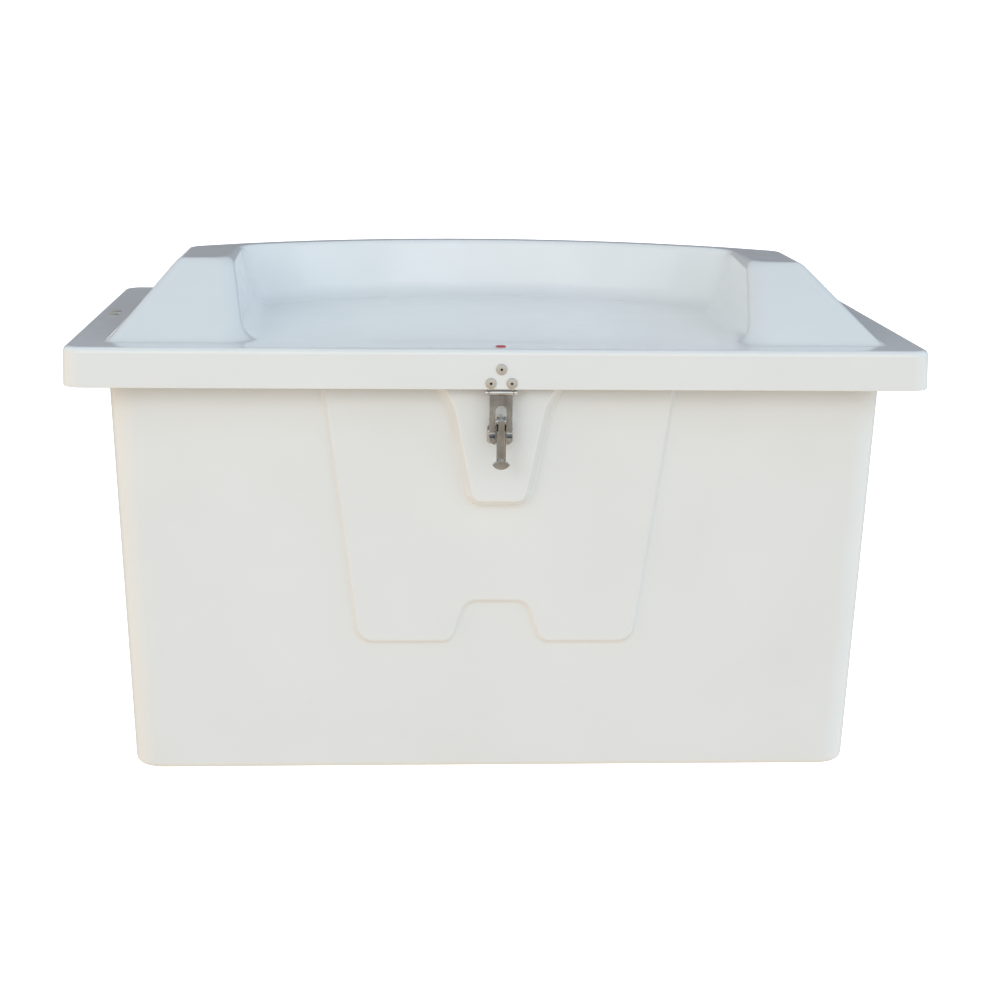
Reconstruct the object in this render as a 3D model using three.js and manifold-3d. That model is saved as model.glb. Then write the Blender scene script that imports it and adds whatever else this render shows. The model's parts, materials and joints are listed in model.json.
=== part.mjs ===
// Fibreglass dock box with a seat lid.
// A tapered tub stands on its flat base. The lid turns on a piano hinge along the rear edge, a slotted stay
// at the left-hand end limits its swing, and a stainless hasp in front drops over a staple on the tub.
// Millimetres, +Z up, front towards -Y, +X to the right, origin at the middle of the base.
import * as THREE from "three";
import { mergeVertices } from "three/addons/utils/BufferGeometryUtils.js";
import Module from "manifold-3d";

const wasm = await Module();
wasm.setup();

// ---- driving dimensions ----
const WALL = 5; // fibreglass thickness
const GAP = 0.3; // between pieces that touch

const TUB = {
  baseX: 512, // half width and half depth of the base, and of the wall at the lid's lower edge
  baseY: 262,
  topX: 532,
  topY: 279,
  height: 600, // top of the rim
  cornerRadius: 40,
  footRadius: 10,
  rimX: 547,
  rimY: 300,
};

const LID = {
  halfX: 584,
  halfY: 330,
  bottom: 561,
  top: 615,
  skirtDraft: 1.5,
  cornerRadius: 28,
  edgeRadius: 8,
};

// The raised U of back and arms, as an outer and an inner outline at its foot and at its top.
const WALL_TOP = 706;
const CREST_RADIUS = 6;
const FOOT = {
  outer: { x: 529, back: 278, arc: 2500, corner: 70 },
  inner: { x: 347, back: 217, arc: 570, corner: 60 },
  front: -275,
  outerEdge: 10,
  innerEdge: 34,
};
const CREST = {
  outer: { x: 453, back: 257, arc: 731, corner: 34 },
  inner: { x: 376, back: 226, arc: 700, corner: 58 },
  front: -70,
  outerEdge: 10,
  innerEdge: 30,
};
const PAN_RISE = 5; // the seat pan climbs this much from the front to the back, so that it drains

// Raised panels on the tub's front, as half outlines from the lower middle to the top edge.
const PANEL = { proud: 8, slope: 7, top: 578 };
const LATCH_PAD = { face: -307, slope: 12, top: 578 };

// Rear hinge: a ledge of the tub carries the lower leaf level with the lid's rear face.
const HINGE = {
  y: 334.6,
  z: 556,
  pinRadius: 2.3,
  boreRadius: 2.75,
  knuckleRadius: 4.3,
  leafThickness: 2,
  knuckleLength: 50,
  knuckles: 18,
  leafHeight: 38,
  rivetPitch: 160,
  rivetsPerLeaf: 6,
  rivetDrop: 26,
};
const LEDGE = { halfX: 478, top: 551, bottom: 506, foot: 452 };

// Hasp on the lid and staple on the tub.
const HASP = {
  y: -327,
  z: 556.5,
  pinRadius: 1.6,
  boreRadius: 1.95,
  knuckleRadius: 3.6,
  sheet: 2,
  leafHalfX: 15.5,
  halfX: 22,
  slotHalfX: 7.5,
  slotTop: 539,
  bendZ: 504,
  lip: 9,
  plateTop: 600,
};
const SKIRT_RIVETS = [
  [0, 588.5],
  [-14, 569.5],
  [14, 569.5],
];
const STAPLE = {
  halfX: 17.8,
  bottom: 484,
  top: 509,
  plate: 2.3,
  postHalfX: 2.6,
  eyeRadius: 5.5,
  rivetX: 13,
  rivetZ: 499,
};
const LEVER = {
  y: -336,
  z: 519,
  halfX: 6,
  headRadius: 6.5,
  shank: 8,
  tip: 461,
  padHalfX: 12,
  padRadius: 14,
  padDrop: 6.5,
};

// Lid stay: pivot and guide bolt stand equally far from the hinge axis, so the bar turns half as far as the
// lid. It is drawn at the right-hand end and mirrored to the left.
const STAY = {
  x: 502,
  pivotY: 60,
  pivotZ: 590,
  boltZ: 500,
  opening: Math.PI / 2,
  width: 22,
  thickness: 3,
  slotHalf: 4.6,
  boltRadius: 4,
};
const BRACKET = {
  rivetX: 557,
  rivetYs: [-9, 27],
  outerX: 570,
  sheet: 2.5,
  frontY: -24,
  rearY: 76,
  earX: 506.5,
  earHalf: 13,
};
const PIVOT = { head: 6.5, height: 1.6, shank: 3.2 };
const NUT = { radius: 8, height: 5.5 };
const SPACER_RADIUS = 7.5;

const GASKET = { inset: 4, width: 9 };
const BADGE = { y: -302, radius: 7, height: 1.6 };

// Rivets: head and shank radius, head height, thickness gripped and radius of the mandrel's hole.
const RIVET_TAIL = 1.8;
const RIVET_CLEARANCE = 0.35;
const HINGE_RIVET = { head: 4.8, height: 1.7, shank: 2.2, grip: HINGE.leafThickness + GAP + WALL };
const SKIRT_RIVET = { head: 7.6, height: 2.2, shank: 2.4, grip: WALL + HASP.sheet + GAP, dimple: 1.7 };
const MARGIN_RIVET = { head: 7.6, height: 2.2, shank: 2.4, grip: WALL + BRACKET.sheet + GAP, dimple: 1.7 };
const STAPLE_RIVET = { head: 4.6, height: 1.7, shank: 2.2, grip: WALL + STAPLE.plate + GAP };

const COLOURS = {
  gelcoat: [0xe6e7e3, 0.22, 0],
  stainless: [0xa9a49d, 0.3, 1],
  aluminium: [0xc4bcb3, 0.45, 1],
  gasket: [0x3a3b3d, 0.85, 0],
  badge: [0xb01420, 0.35, 0],
};

// ---- solids ----
const round = (turns) => turns * Math.PI * 2;

function solid(geometry) {
  const bare = geometry.clone();
  bare.deleteAttribute("normal");
  bare.deleteAttribute("uv");
  const merged = mergeVertices(bare, 1e-4);
  return new wasm.Manifold(
    new wasm.Mesh({
      numProp: 3,
      vertProperties: merged.attributes.position.array,
      triVerts: new Uint32Array(merged.index.array),
    }),
  );
}

function geometryOf(body) {
  const { vertProperties, triVerts } = body.getMesh();
  return new THREE.BufferGeometry()
    .setAttribute("position", new THREE.BufferAttribute(vertProperties, 3))
    .setIndex(new THREE.BufferAttribute(triVerts, 1));
}

const join = (...bodies) => bodies.reduce((sum, body) => sum.add(body));
const cut = (body, ...tools) => tools.reduce((rest, tool) => rest.subtract(tool), body);

// A solid through rings of points. Each ring runs anticlockwise seen from the last ring's side.
function loft(rings) {
  const count = rings[0].length;
  const positions = rings.flat().flatMap((p) => [p.x, p.y, p.z]);
  const index = [];
  for (let r = 0; r + 1 < rings.length; r++) {
    for (let i = 0; i < count; i++) {
      const a = r * count + i;
      const b = r * count + ((i + 1) % count);
      index.push(a, b, b + count, a, b + count, a + count);
    }
  }
  const flat = (ring) => ring.map((p) => new THREE.Vector2(p.x, p.y));
  const last = (rings.length - 1) * count;
  for (const [a, b, c] of THREE.ShapeUtils.triangulateShape(flat(rings[0]), [])) {
    index.push(c, b, a);
  }
  for (const [a, b, c] of THREE.ShapeUtils.triangulateShape(flat(rings.at(-1)), [])) {
    index.push(last + a, last + b, last + c);
  }
  const geometry = new THREE.BufferGeometry();
  geometry.setAttribute("position", new THREE.Float32BufferAttribute(positions, 3));
  geometry.setIndex(index);
  return solid(geometry);
}

// A closed outline through corners [x, y, radius, steps]: each corner becomes an arc of steps + 1 points.
function outline(corners) {
  const points = [];
  corners.forEach(([x, y, radius, steps], i) => {
    const here = new THREE.Vector2(x, y);
    if (!radius) {
      points.push(here);
      return;
    }
    const before = corners.at(i - 1);
    const after = corners[(i + 1) % corners.length];
    const back = new THREE.Vector2(before[0] - x, before[1] - y).normalize();
    const on = new THREE.Vector2(after[0] - x, after[1] - y).normalize();
    const half = Math.acos(THREE.MathUtils.clamp(back.dot(on), -1, 1)) / 2;
    const reach = radius / Math.tan(half);
    const centre = back.clone().add(on).normalize().multiplyScalar(radius / Math.sin(half)).add(here);
    const from = back.multiplyScalar(reach).add(here).sub(centre).angle();
    let sweep = on.multiplyScalar(reach).add(here).sub(centre).angle() - from;
    sweep -= Math.round(sweep / round(1)) * round(1);
    for (let s = 0; s <= steps; s++) {
      const turn = from + (sweep * s) / steps;
      points.push(new THREE.Vector2(Math.cos(turn), Math.sin(turn)).multiplyScalar(radius).add(centre));
    }
  });
  return points;
}

// An anticlockwise outline moved outwards by a distance; a negative distance shrinks it.
function offset(points, distance) {
  return points.map((p, i) => {
    const before = p.clone().sub(points.at(i - 1)).normalize();
    const after = points[(i + 1) % points.length].clone().sub(p).normalize();
    const normal = new THREE.Vector2(before.y + after.y, -before.x - after.x).normalize();
    return normal.multiplyScalar(distance / Math.max(0.5, normal.x * after.y - normal.y * after.x)).add(p);
  });
}

// Points of an outline at one height, or at the height that a function gives for each.
const ring = (points, z) =>
  points.map((p) => new THREE.Vector3(p.x, p.y, typeof z === "function" ? z(p) : z));

const rectangle = (halfX, halfY, radius, steps = 6) =>
  outline([
    [halfX, -halfY, radius, steps],
    [halfX, halfY, radius, steps],
    [-halfX, halfY, radius, steps],
    [-halfX, -halfY, radius, steps],
  ]);

function box(x0, y0, z0, x1, y1, z1) {
  const geometry = new THREE.BoxGeometry(x1 - x0, y1 - y0, z1 - z0);
  geometry.translate((x0 + x1) / 2, (y0 + y1) / 2, (z0 + z1) / 2);
  return solid(geometry);
}

// A round bar from one point to another.
function bar(radius, from, to, sides = 12) {
  const a = new THREE.Vector3(...from);
  const b = new THREE.Vector3(...to);
  const geometry = new THREE.CylinderGeometry(radius, radius, a.distanceTo(b), sides);
  const up = new THREE.Vector3(0, 1, 0);
  geometry.applyQuaternion(new THREE.Quaternion().setFromUnitVectors(up, b.clone().sub(a).normalize()));
  geometry.translate((a.x + b.x) / 2, (a.y + b.y) / 2, (a.z + b.z) / 2);
  return solid(geometry);
}

// A flat outline of (y, z) points made solid from x0 to x1.
function slabX(points, x0, x1) {
  const shape = new THREE.Shape(points.map(([y, z]) => new THREE.Vector2(y, z)));
  const geometry = new THREE.ExtrudeGeometry(shape, { depth: x1 - x0, bevelEnabled: false });
  geometry.applyMatrix4(new THREE.Matrix4().makeBasis(
    new THREE.Vector3(0, 1, 0),
    new THREE.Vector3(0, 0, 1),
    new THREE.Vector3(1, 0, 0),
  ));
  geometry.translate(x0, 0, 0);
  return solid(geometry);
}

// A flat outline of (x, z) points made solid from the front y0 back to y1.
function slabY(points, y0, y1) {
  const shape = new THREE.Shape(points.map((p) => new THREE.Vector2(p.x ?? p[0], p.y ?? p[1])));
  const geometry = new THREE.ExtrudeGeometry(shape, { depth: y1 - y0, bevelEnabled: false });
  geometry.rotateX(Math.PI / 2);
  geometry.translate(0, y1, 0);
  return solid(geometry);
}

// A turned piece: profile of [radius, height], heights running along the direction from the given point.
function turned(profile, at, direction, sides = 12) {
  const points = profile.map(([radius, height]) => new THREE.Vector2(radius, height));
  const geometry = new THREE.LatheGeometry(points, sides);
  const up = new THREE.Vector3(0, 1, 0);
  geometry.applyQuaternion(new THREE.Quaternion().setFromUnitVectors(up, new THREE.Vector3(...direction)));
  geometry.translate(...at);
  return solid(geometry);
}

// A rivet with its head on the given point of a surface, its shank through the grip and a formed tail behind.
function rivet({ head, height, shank, grip, dimple = 0 }, at, direction, sides = 10) {
  const tail = -grip - 2 * GAP;
  const profile = [
    [0, tail - RIVET_TAIL],
    [shank * 1.7, tail - RIVET_TAIL],
    [shank * 1.7, tail],
    [shank, tail],
    [shank, 0],
    [head, 0],
    [head * 0.97, height * 0.45],
    [head * 0.55, height],
  ];
  if (dimple) {
    profile.push([dimple, height], [dimple, height * 0.3], [0, height * 0.3]);
  } else {
    profile.push([0, height]);
  }
  const start = new THREE.Vector3(...direction).multiplyScalar(GAP).add(new THREE.Vector3(...at));
  return turned(profile, start.toArray(), direction, sides);
}

const bore = (radius, at, direction, length) => {
  const along = new THREE.Vector3(...direction).multiplyScalar(length / 2);
  const middle = new THREE.Vector3(...at);
  return bar(radius, middle.clone().sub(along).toArray(), middle.clone().add(along).toArray(), 10);
};

// An outline with round ends between two points.
function stadium(from, to, radius, steps = 6) {
  const along = Math.atan2(to[1] - from[1], to[0] - from[0]);
  const end = ([x, y], middle) =>
    Array.from({ length: steps + 1 }, (_, s) => {
      const turn = middle - Math.PI / 2 + (Math.PI * s) / steps;
      return [x + radius * Math.cos(turn), y + radius * Math.sin(turn)];
    });
  return [...end(to, along), ...end(from, along + Math.PI)];
}

const circle = (at, radius, sides = 12) =>
  Array.from({ length: sides }, (_, s) => {
    const turn = round(s / sides);
    return [at[0] + radius * Math.cos(turn), at[1] + radius * Math.sin(turn)];
  });

// ---- places that follow from the dimensions ----
const hingeRivetXs = Array.from(
  { length: HINGE.rivetsPerLeaf },
  (_, i) => (i - (HINGE.rivetsPerLeaf - 1) / 2) * HINGE.rivetPitch,
);
const stapleRivetXs = [-STAPLE.rivetX, STAPLE.rivetX];
const hingeFace = LID.halfY + GAP + HINGE.leafThickness; // rear face of both leaves
const holeFor = (spec, at, direction) => bore(spec.shank + RIVET_CLEARANCE, at, direction, 2 * spec.grip + 8);

const stayFace = STAY.x - STAY.thickness / 2; // inward face of the bar

// Stay geometry in the (y, z) plane.
const stayReach = Math.hypot(STAY.pivotY - HINGE.y, STAY.pivotZ - HINGE.z);
const boltY = HINGE.y - Math.sqrt(stayReach ** 2 - (STAY.boltZ - HINGE.z) ** 2);
const pivotPoint = [STAY.pivotY, STAY.pivotZ];
const boltPoint = [boltY, STAY.boltZ];
const closedSpan = Math.hypot(boltY - STAY.pivotY, STAY.boltZ - STAY.pivotZ);
const closedAngle = 2 * Math.asin(closedSpan / 2 / stayReach);
const openSpan = 2 * stayReach * Math.sin((closedAngle + STAY.opening) / 2);
const alongStay = (distance) => [
  STAY.pivotY + ((boltY - STAY.pivotY) * distance) / closedSpan,
  STAY.pivotZ + ((STAY.boltZ - STAY.pivotZ) * distance) / closedSpan,
];

// ---- tub ----
const tubX = (z) => TUB.baseX + ((TUB.topX - TUB.baseX) * z) / LID.bottom;
const tubY = (z) => TUB.baseY + ((TUB.topY - TUB.baseY) * z) / LID.bottom;
const tubRing = (z, inset) =>
  ring(rectangle(tubX(z) - inset, tubY(z) - inset, TUB.cornerRadius - Math.min(inset, WALL)), z);

// The drafted shell as a solid, inset by a wall thickness, with a rounded foot.
function tubBody(inset, top) {
  const radius = TUB.footRadius - inset;
  const foot = [0, 1, 2, 3].map((s) => {
    const turn = (s / 3) * (Math.PI / 2);
    return tubRing(inset + radius * (1 - Math.cos(turn)), inset + radius * (1 - Math.sin(turn)));
  });
  return loft([...foot, tubRing(top, inset)]);
}

// A raised panel on the front: an (x, z) outline lofted through [growth, depth in front of the centre plane].
function relief(points, layers) {
  const geometry = geometryOf(loft(layers.map(([growth, depth]) => ring(offset(points, growth), depth))));
  geometry.rotateX(Math.PI / 2);
  return solid(geometry);
}

function frontPanel() {
  const points = outline([
    [-193, 191, 24, 4],
    [-63, 191, 16, 3],
    [-42, 251, 20, 3],
    [42, 251, 20, 3],
    [63, 191, 16, 3],
    [193, 191, 24, 4],
    [244, PANEL.top, 0],
    [-244, PANEL.top, 0],
  ]);
  const half = PANEL.slope / 2;
  const wall = (shift) => (p) => tubY(p.y) + shift;
  return {
    raised: relief(points, [[half, wall(-2)], [half, wall(0)], [-half, wall(PANEL.proud)]]),
    hollow: relief(points, [[-half - 2, wall(-WALL - 2)], [-half - WALL, wall(PANEL.proud - WALL)]]),
  };
}

function latchPad() {
  const points = outline([
    [-38.5, 396, 18, 5],
    [38.5, 396, 18, 5],
    [66.5, 530, 60, 2],
    [86, LATCH_PAD.top, 0],
    [-86, LATCH_PAD.top, 0],
    [-66.5, 530, 60, 2],
  ]);
  const half = LATCH_PAD.slope / 2;
  const face = -LATCH_PAD.face;
  const wall = (shift) => (p) => tubY(p.y) + shift;
  return {
    raised: relief(points, [[half, wall(2)], [half, wall(PANEL.proud)], [-half, face]]),
    hollow: relief(points, [
      [half - WALL, wall(-WALL - 2)],
      [half - WALL, wall(2)],
      [-half - WALL, face - WALL],
    ]),
  };
}

function hingeLedge() {
  const y = LID.halfY;
  const inside = y - WALL;
  const root = tubY(LEDGE.foot) - 4;
  const slope = WALL * Math.SQRT2;
  const rise = LEDGE.bottom - y;
  return {
    raised: slabX(
      [
        [root, LEDGE.top],
        [y, LEDGE.top],
        [y, LEDGE.bottom],
        [root, root + rise],
      ],
      -LEDGE.halfX,
      LEDGE.halfX,
    ),
    hollow: slabX(
      [
        [root - 10, LEDGE.top - WALL],
        [inside, LEDGE.top - WALL],
        [inside, inside + rise + slope],
        [root - 10, root - 10 + rise + slope],
      ],
      WALL - LEDGE.halfX,
      LEDGE.halfX - WALL,
    ),
  };
}

function makeTub() {
  const panel = frontPanel();
  const pad = latchPad();
  const ledge = hingeLedge();
  const rim = loft([
    ring(rectangle(TUB.rimX, TUB.rimY, TUB.cornerRadius + 6), TUB.height - WALL),
    ring(rectangle(TUB.rimX, TUB.rimY, TUB.cornerRadius + 6), TUB.height),
  ]);
  const outside = join(tubBody(0, TUB.height - 1), rim, panel.raised, pad.raised, ledge.raised);
  const shell = cut(outside, tubBody(WALL, TUB.height + 1), panel.hollow, pad.hollow, ledge.hollow);
  const holes = [
    ...hingeRivetXs.map((x) => holeFor(HINGE_RIVET, [x, LID.halfY, HINGE.z - HINGE.rivetDrop], [0, 1, 0])),
    ...stapleRivetXs.map((x) => holeFor(STAPLE_RIVET, [x, LATCH_PAD.face, STAPLE.rivetZ], [0, 1, 0])),
    bore(STAY.boltRadius + RIVET_CLEARANCE, [-tubX(STAY.boltZ), ...boltPoint], [1, 0, 0], 40),
  ];
  return cut(shell, ...holes);
}

function makeGasket() {
  const outer = rectangle(TUB.rimX - GASKET.inset, TUB.rimY - GASKET.inset, TUB.cornerRadius + 2);
  const inner = offset(outer, -GASKET.width);
  const low = TUB.height + GAP;
  const high = LID.top - WALL - GAP;
  const blank = loft([ring(outer, low), ring(outer, high)]);
  const inside = loft([ring(inner, low - 1), ring(inner, high + 1)]);
  const { outerX, earX, frontY, rearY, sheet } = BRACKET;
  const notch = box(-outerX, frontY - 1, high - sheet - GAP, -earX, rearY + 1, high + 1);
  return cut(blank, inside, notch);
}

// ---- lid ----
const arcY = (side, x) => side.back - side.arc + Math.sqrt(side.arc ** 2 - x ** 2);
const BACK_STEPS = [0.84, 0.56, 0.28, 0, -0.28, -0.56, -0.84];
const backArc = (side, direction) =>
  BACK_STEPS.map((k) => [direction * side.x * k, arcY(side, side.x * k), 0, 0]);

// The U-shaped outline of back and arms at one level. Every level has the same number of points.
function wallOutline({ outer, inner, front, outerEdge, innerEdge }) {
  return outline([
    [inner.x, front, innerEdge, 4],
    [outer.x, front, outerEdge, 2],
    [outer.x, arcY(outer, outer.x), outer.corner, 4],
    ...backArc(outer, 1),
    [-outer.x, arcY(outer, outer.x), outer.corner, 4],
    [-outer.x, front, outerEdge, 2],
    [-inner.x, front, innerEdge, 4],
    [-inner.x, arcY(inner, inner.x), inner.corner, 4],
    ...backArc(inner, -1),
    [inner.x, arcY(inner, inner.x), inner.corner, 4],
  ]);
}

const between = (low, high, share) => low.map((p, i) => p.clone().lerp(high[i], share));

function seatWall() {
  const foot = wallOutline(FOOT);
  const crest = wallOutline(CREST);
  const rise = WALL_TOP - LID.top;
  const shoulder = 1 - CREST_RADIUS / rise;
  const embed = 3;
  return {
    raised: loft([
      ring(foot, LID.top - embed),
      ring(foot, LID.top),
      ring(between(foot, crest, shoulder), LID.top + rise * shoulder),
      ring(offset(crest, -0.3 * CREST_RADIUS), WALL_TOP - 0.3 * CREST_RADIUS),
      ring(offset(crest, -CREST_RADIUS), WALL_TOP),
    ]),
    hollow: loft([
      ring(offset(foot, -WALL), LID.top - 2 * WALL),
      ring(offset(foot, -WALL), LID.top - WALL),
      ring(offset(crest, -WALL), WALL_TOP - WALL),
    ]),
  };
}

// The seat pan between the arms, tilted so that it drains to the front.
function seatPan() {
  const side = { ...FOOT.inner, x: FOOT.inner.x + 3, back: FOOT.inner.back + 3 };
  const points = outline([
    [-side.x, FOOT.front, 0],
    [side.x, FOOT.front, 0],
    [side.x, arcY(side, side.x), side.corner, 5],
    ...backArc(side, 1),
    [-side.x, arcY(side, side.x), side.corner, 5],
  ]);
  const slope = (p) => LID.top + (PAN_RISE * (p.y - FOOT.front)) / (FOOT.inner.back - FOOT.front);
  return loft([ring(points, LID.top - 3), ring(points, slope)]);
}

function makeLid() {
  const edge = [0, 1, 2, 3].map((s) => {
    const turn = (s / 3) * (Math.PI / 2);
    const inset = LID.edgeRadius * (1 - Math.cos(turn));
    const points = rectangle(LID.halfX - LID.skirtDraft - inset, LID.halfY - inset, LID.cornerRadius - inset);
    return ring(points, LID.top - LID.edgeRadius * (1 - Math.sin(turn)));
  });
  const outside = loft([ring(rectangle(LID.halfX, LID.halfY, LID.cornerRadius), LID.bottom), ...edge]);
  const innerRadius = LID.cornerRadius - WALL;
  const inside = loft([
    ring(rectangle(LID.halfX - WALL, LID.halfY - WALL, innerRadius), LID.bottom - 1),
    ring(rectangle(LID.halfX - WALL - LID.skirtDraft, LID.halfY - WALL, innerRadius), LID.top - WALL),
  ]);
  const wall = seatWall();
  const shell = cut(join(outside, wall.raised, seatPan()), inside, wall.hollow);
  const holes = [
    ...hingeRivetXs.map((x) => holeFor(HINGE_RIVET, [x, LID.halfY, HINGE.z + HINGE.rivetDrop], [0, 1, 0])),
    ...SKIRT_RIVETS.map(([x, z]) => holeFor(SKIRT_RIVET, [x, -LID.halfY, z], [0, 1, 0])),
    ...BRACKET.rivetYs.map((y) => holeFor(MARGIN_RIVET, [-BRACKET.rivetX, y, LID.top], [0, 0, 1])),
  ];
  return cut(shell, ...holes);
}

// ---- rear hinge ----
// One leaf: a plate with every second knuckle. The upper leaf points up, the lower one down.
function hingeLeaf(direction) {
  const half = (HINGE.knuckles * HINGE.knuckleLength) / 2;
  const near = HINGE.knuckleRadius + 0.4;
  const y0 = LID.halfY + GAP;
  const levels = (a, b) => [HINGE.z + direction * a, HINGE.z + direction * b].sort((p, q) => p - q);
  const [z0, z1] = levels(near, HINGE.leafHeight);
  const plate = box(-half, y0, z0, half, hingeFace, z1);
  const own = Array.from({ length: HINGE.knuckles / 2 }, (_, i) => {
    const start = -half + (2 * i + (direction > 0 ? 1 : 0)) * HINGE.knuckleLength;
    const [x0, x1] = [start + GAP / 2, start + HINGE.knuckleLength - GAP / 2];
    const [w0, w1] = levels(0, near + 1);
    const barrel = bar(HINGE.knuckleRadius, [x0, HINGE.y, HINGE.z], [x1, HINGE.y, HINGE.z], 12);
    return join(box(x0, y0, w0, x1, hingeFace, w1), barrel);
  });
  const pinHole = bar(HINGE.boreRadius, [-half - 1, HINGE.y, HINGE.z], [half + 1, HINGE.y, HINGE.z], 10);
  const rivetZ = HINGE.z + direction * HINGE.rivetDrop;
  const holes = hingeRivetXs.map((x) => holeFor(HINGE_RIVET, [x, hingeFace, rivetZ], [0, 1, 0]));
  return cut(join(plate, ...own), pinHole, ...holes);
}

function hingePin() {
  const half = (HINGE.knuckles * HINGE.knuckleLength) / 2 + 1;
  return bar(HINGE.pinRadius, [-half, HINGE.y, HINGE.z], [half, HINGE.y, HINGE.z], 10);
}

// ---- hasp, staple and lever ----
const haspBar = (radius, x0, x1, sides = 12) =>
  bar(radius, [x0, HASP.y, HASP.z], [x1, HASP.y, HASP.z], sides);
const haspBore = () => haspBar(HASP.boreRadius, -HASP.halfX - 1, HASP.halfX + 1, 10);

function haspPlate() {
  const front = WALL - LID.halfY + GAP;
  const back = front + HASP.sheet;
  const plate = slabY(
    outline([
      [-HASP.halfX, LID.bottom + 0.5, 0],
      [HASP.halfX, LID.bottom + 0.5, 0],
      [HASP.halfX, HASP.plateTop, 10, 3],
      [-HASP.halfX, HASP.plateTop, 10, 3],
    ]),
    front,
    back,
  );
  const knuckles = [-1, 1].map((s) => {
    const [x0, x1] = [s * (HASP.leafHalfX + GAP), s * HASP.halfX].sort((a, b) => a - b);
    return join(haspBar(HASP.knuckleRadius, x0, x1), box(x0, front, HASP.z, x1, back - 0.2, LID.bottom + 1));
  });
  const holes = SKIRT_RIVETS.map(([x, z]) => holeFor(SKIRT_RIVET, [x, front, z], [0, 1, 0]));
  return cut(join(plate, ...knuckles), haspBore(), ...holes);
}

function haspLeaf() {
  const half = HASP.sheet / 2;
  const tip = HASP.bendZ - 17;
  const step = HASP.lip;
  const side = slabX(
    [
      [HASP.y - half, HASP.z],
      [HASP.y - half, HASP.bendZ + half],
      [HASP.y - half - step, HASP.bendZ - step + half],
      [HASP.y - half - step, tip],
      [HASP.y + half - step, tip],
      [HASP.y + half - step, HASP.bendZ - step],
      [HASP.y + half, HASP.bendZ],
      [HASP.y + half, HASP.z],
    ],
    -HASP.leafHalfX,
    HASP.leafHalfX,
  );
  const face = slabY(
    outline([
      [-HASP.leafHalfX, tip, 11, 4],
      [HASP.leafHalfX, tip, 11, 4],
      [HASP.leafHalfX, HASP.z + HASP.knuckleRadius + 1, 0],
      [-HASP.leafHalfX, HASP.z + HASP.knuckleRadius + 1, 0],
    ]),
    HASP.y - 20,
    HASP.y + 20,
  );
  const slotCentre = HASP.slotTop - HASP.slotHalfX;
  const slot = slabY(stadium([0, tip - 20], [0, slotCentre], HASP.slotHalfX), HASP.y - 20, HASP.y + 20);
  const knuckle = haspBar(HASP.knuckleRadius, -HASP.leafHalfX, HASP.leafHalfX);
  return cut(join(side, knuckle).intersect(face), slot, haspBore());
}

function makeStaple() {
  const back = LATCH_PAD.face - GAP;
  const front = back - STAPLE.plate;
  const plate = slabY(
    outline([
      [-STAPLE.halfX, STAPLE.bottom, 4, 2],
      [STAPLE.halfX, STAPLE.bottom, 4, 2],
      [STAPLE.halfX, STAPLE.top, 4, 2],
      [-STAPLE.halfX, STAPLE.top, 4, 2],
    ]),
    front,
    back,
  );
  const eye = slabX(
    stadium([front + 1, LEVER.z], [LEVER.y, LEVER.z], STAPLE.eyeRadius),
    -STAPLE.postHalfX,
    STAPLE.postHalfX,
  );
  const trim = box(-STAPLE.halfX, back, STAPLE.bottom, STAPLE.halfX, back + 20, LEVER.z + 20);
  const gusset = slabX(
    [
      [front + 1, LEVER.z],
      [LEVER.y + 10, LEVER.z - STAPLE.eyeRadius],
      [front + 1, STAPLE.bottom + 10],
    ],
    -STAPLE.postHalfX,
    STAPLE.postHalfX,
  );
  const pinHole = bore(HASP.boreRadius, [0, LEVER.y, LEVER.z], [1, 0, 0], 20);
  const holes = stapleRivetXs.map((x) => holeFor(STAPLE_RIVET, [x, front, STAPLE.rivetZ], [0, 1, 0]));
  return cut(join(plate, eye, gusset), trim, pinHole, ...holes);
}

function makeLever() {
  const { y, z, halfX, headRadius, shank, tip, padHalfX, padRadius, padDrop } = LEVER;
  const head = slabX(circle([y, z], headRadius, 14), -halfX, halfX);
  const arm = slabX(
    [
      [y + 3.2, z],
      [y + 2.2, z - 35],
      [y - 8, tip],
      [y - 12, tip + 6],
      [y + 2.2 - shank, z - 33],
      [y + 1 - shank, z],
    ],
    -halfX,
    halfX,
  );
  const [upper, lower] = [1, -1].map((side) =>
    slabY(circle([0, tip + 1 + side * (padRadius - padDrop)], padRadius, 24), y - 15, y - 8),
  );
  const forkHalf = STAPLE.postHalfX + 0.4;
  const fork = box(-forkHalf, y - 20, z - headRadius - 1.5, forkHalf, y + 20, z + 20);
  const wide = box(-padHalfX, y - 20, tip - 20, padHalfX, y + 20, z + 20);
  const pinHole = bore(HASP.boreRadius, [0, y, z], [1, 0, 0], 20);
  return cut(join(head, arm, upper.intersect(lower)).intersect(wide), fork, pinHole);
}

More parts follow.
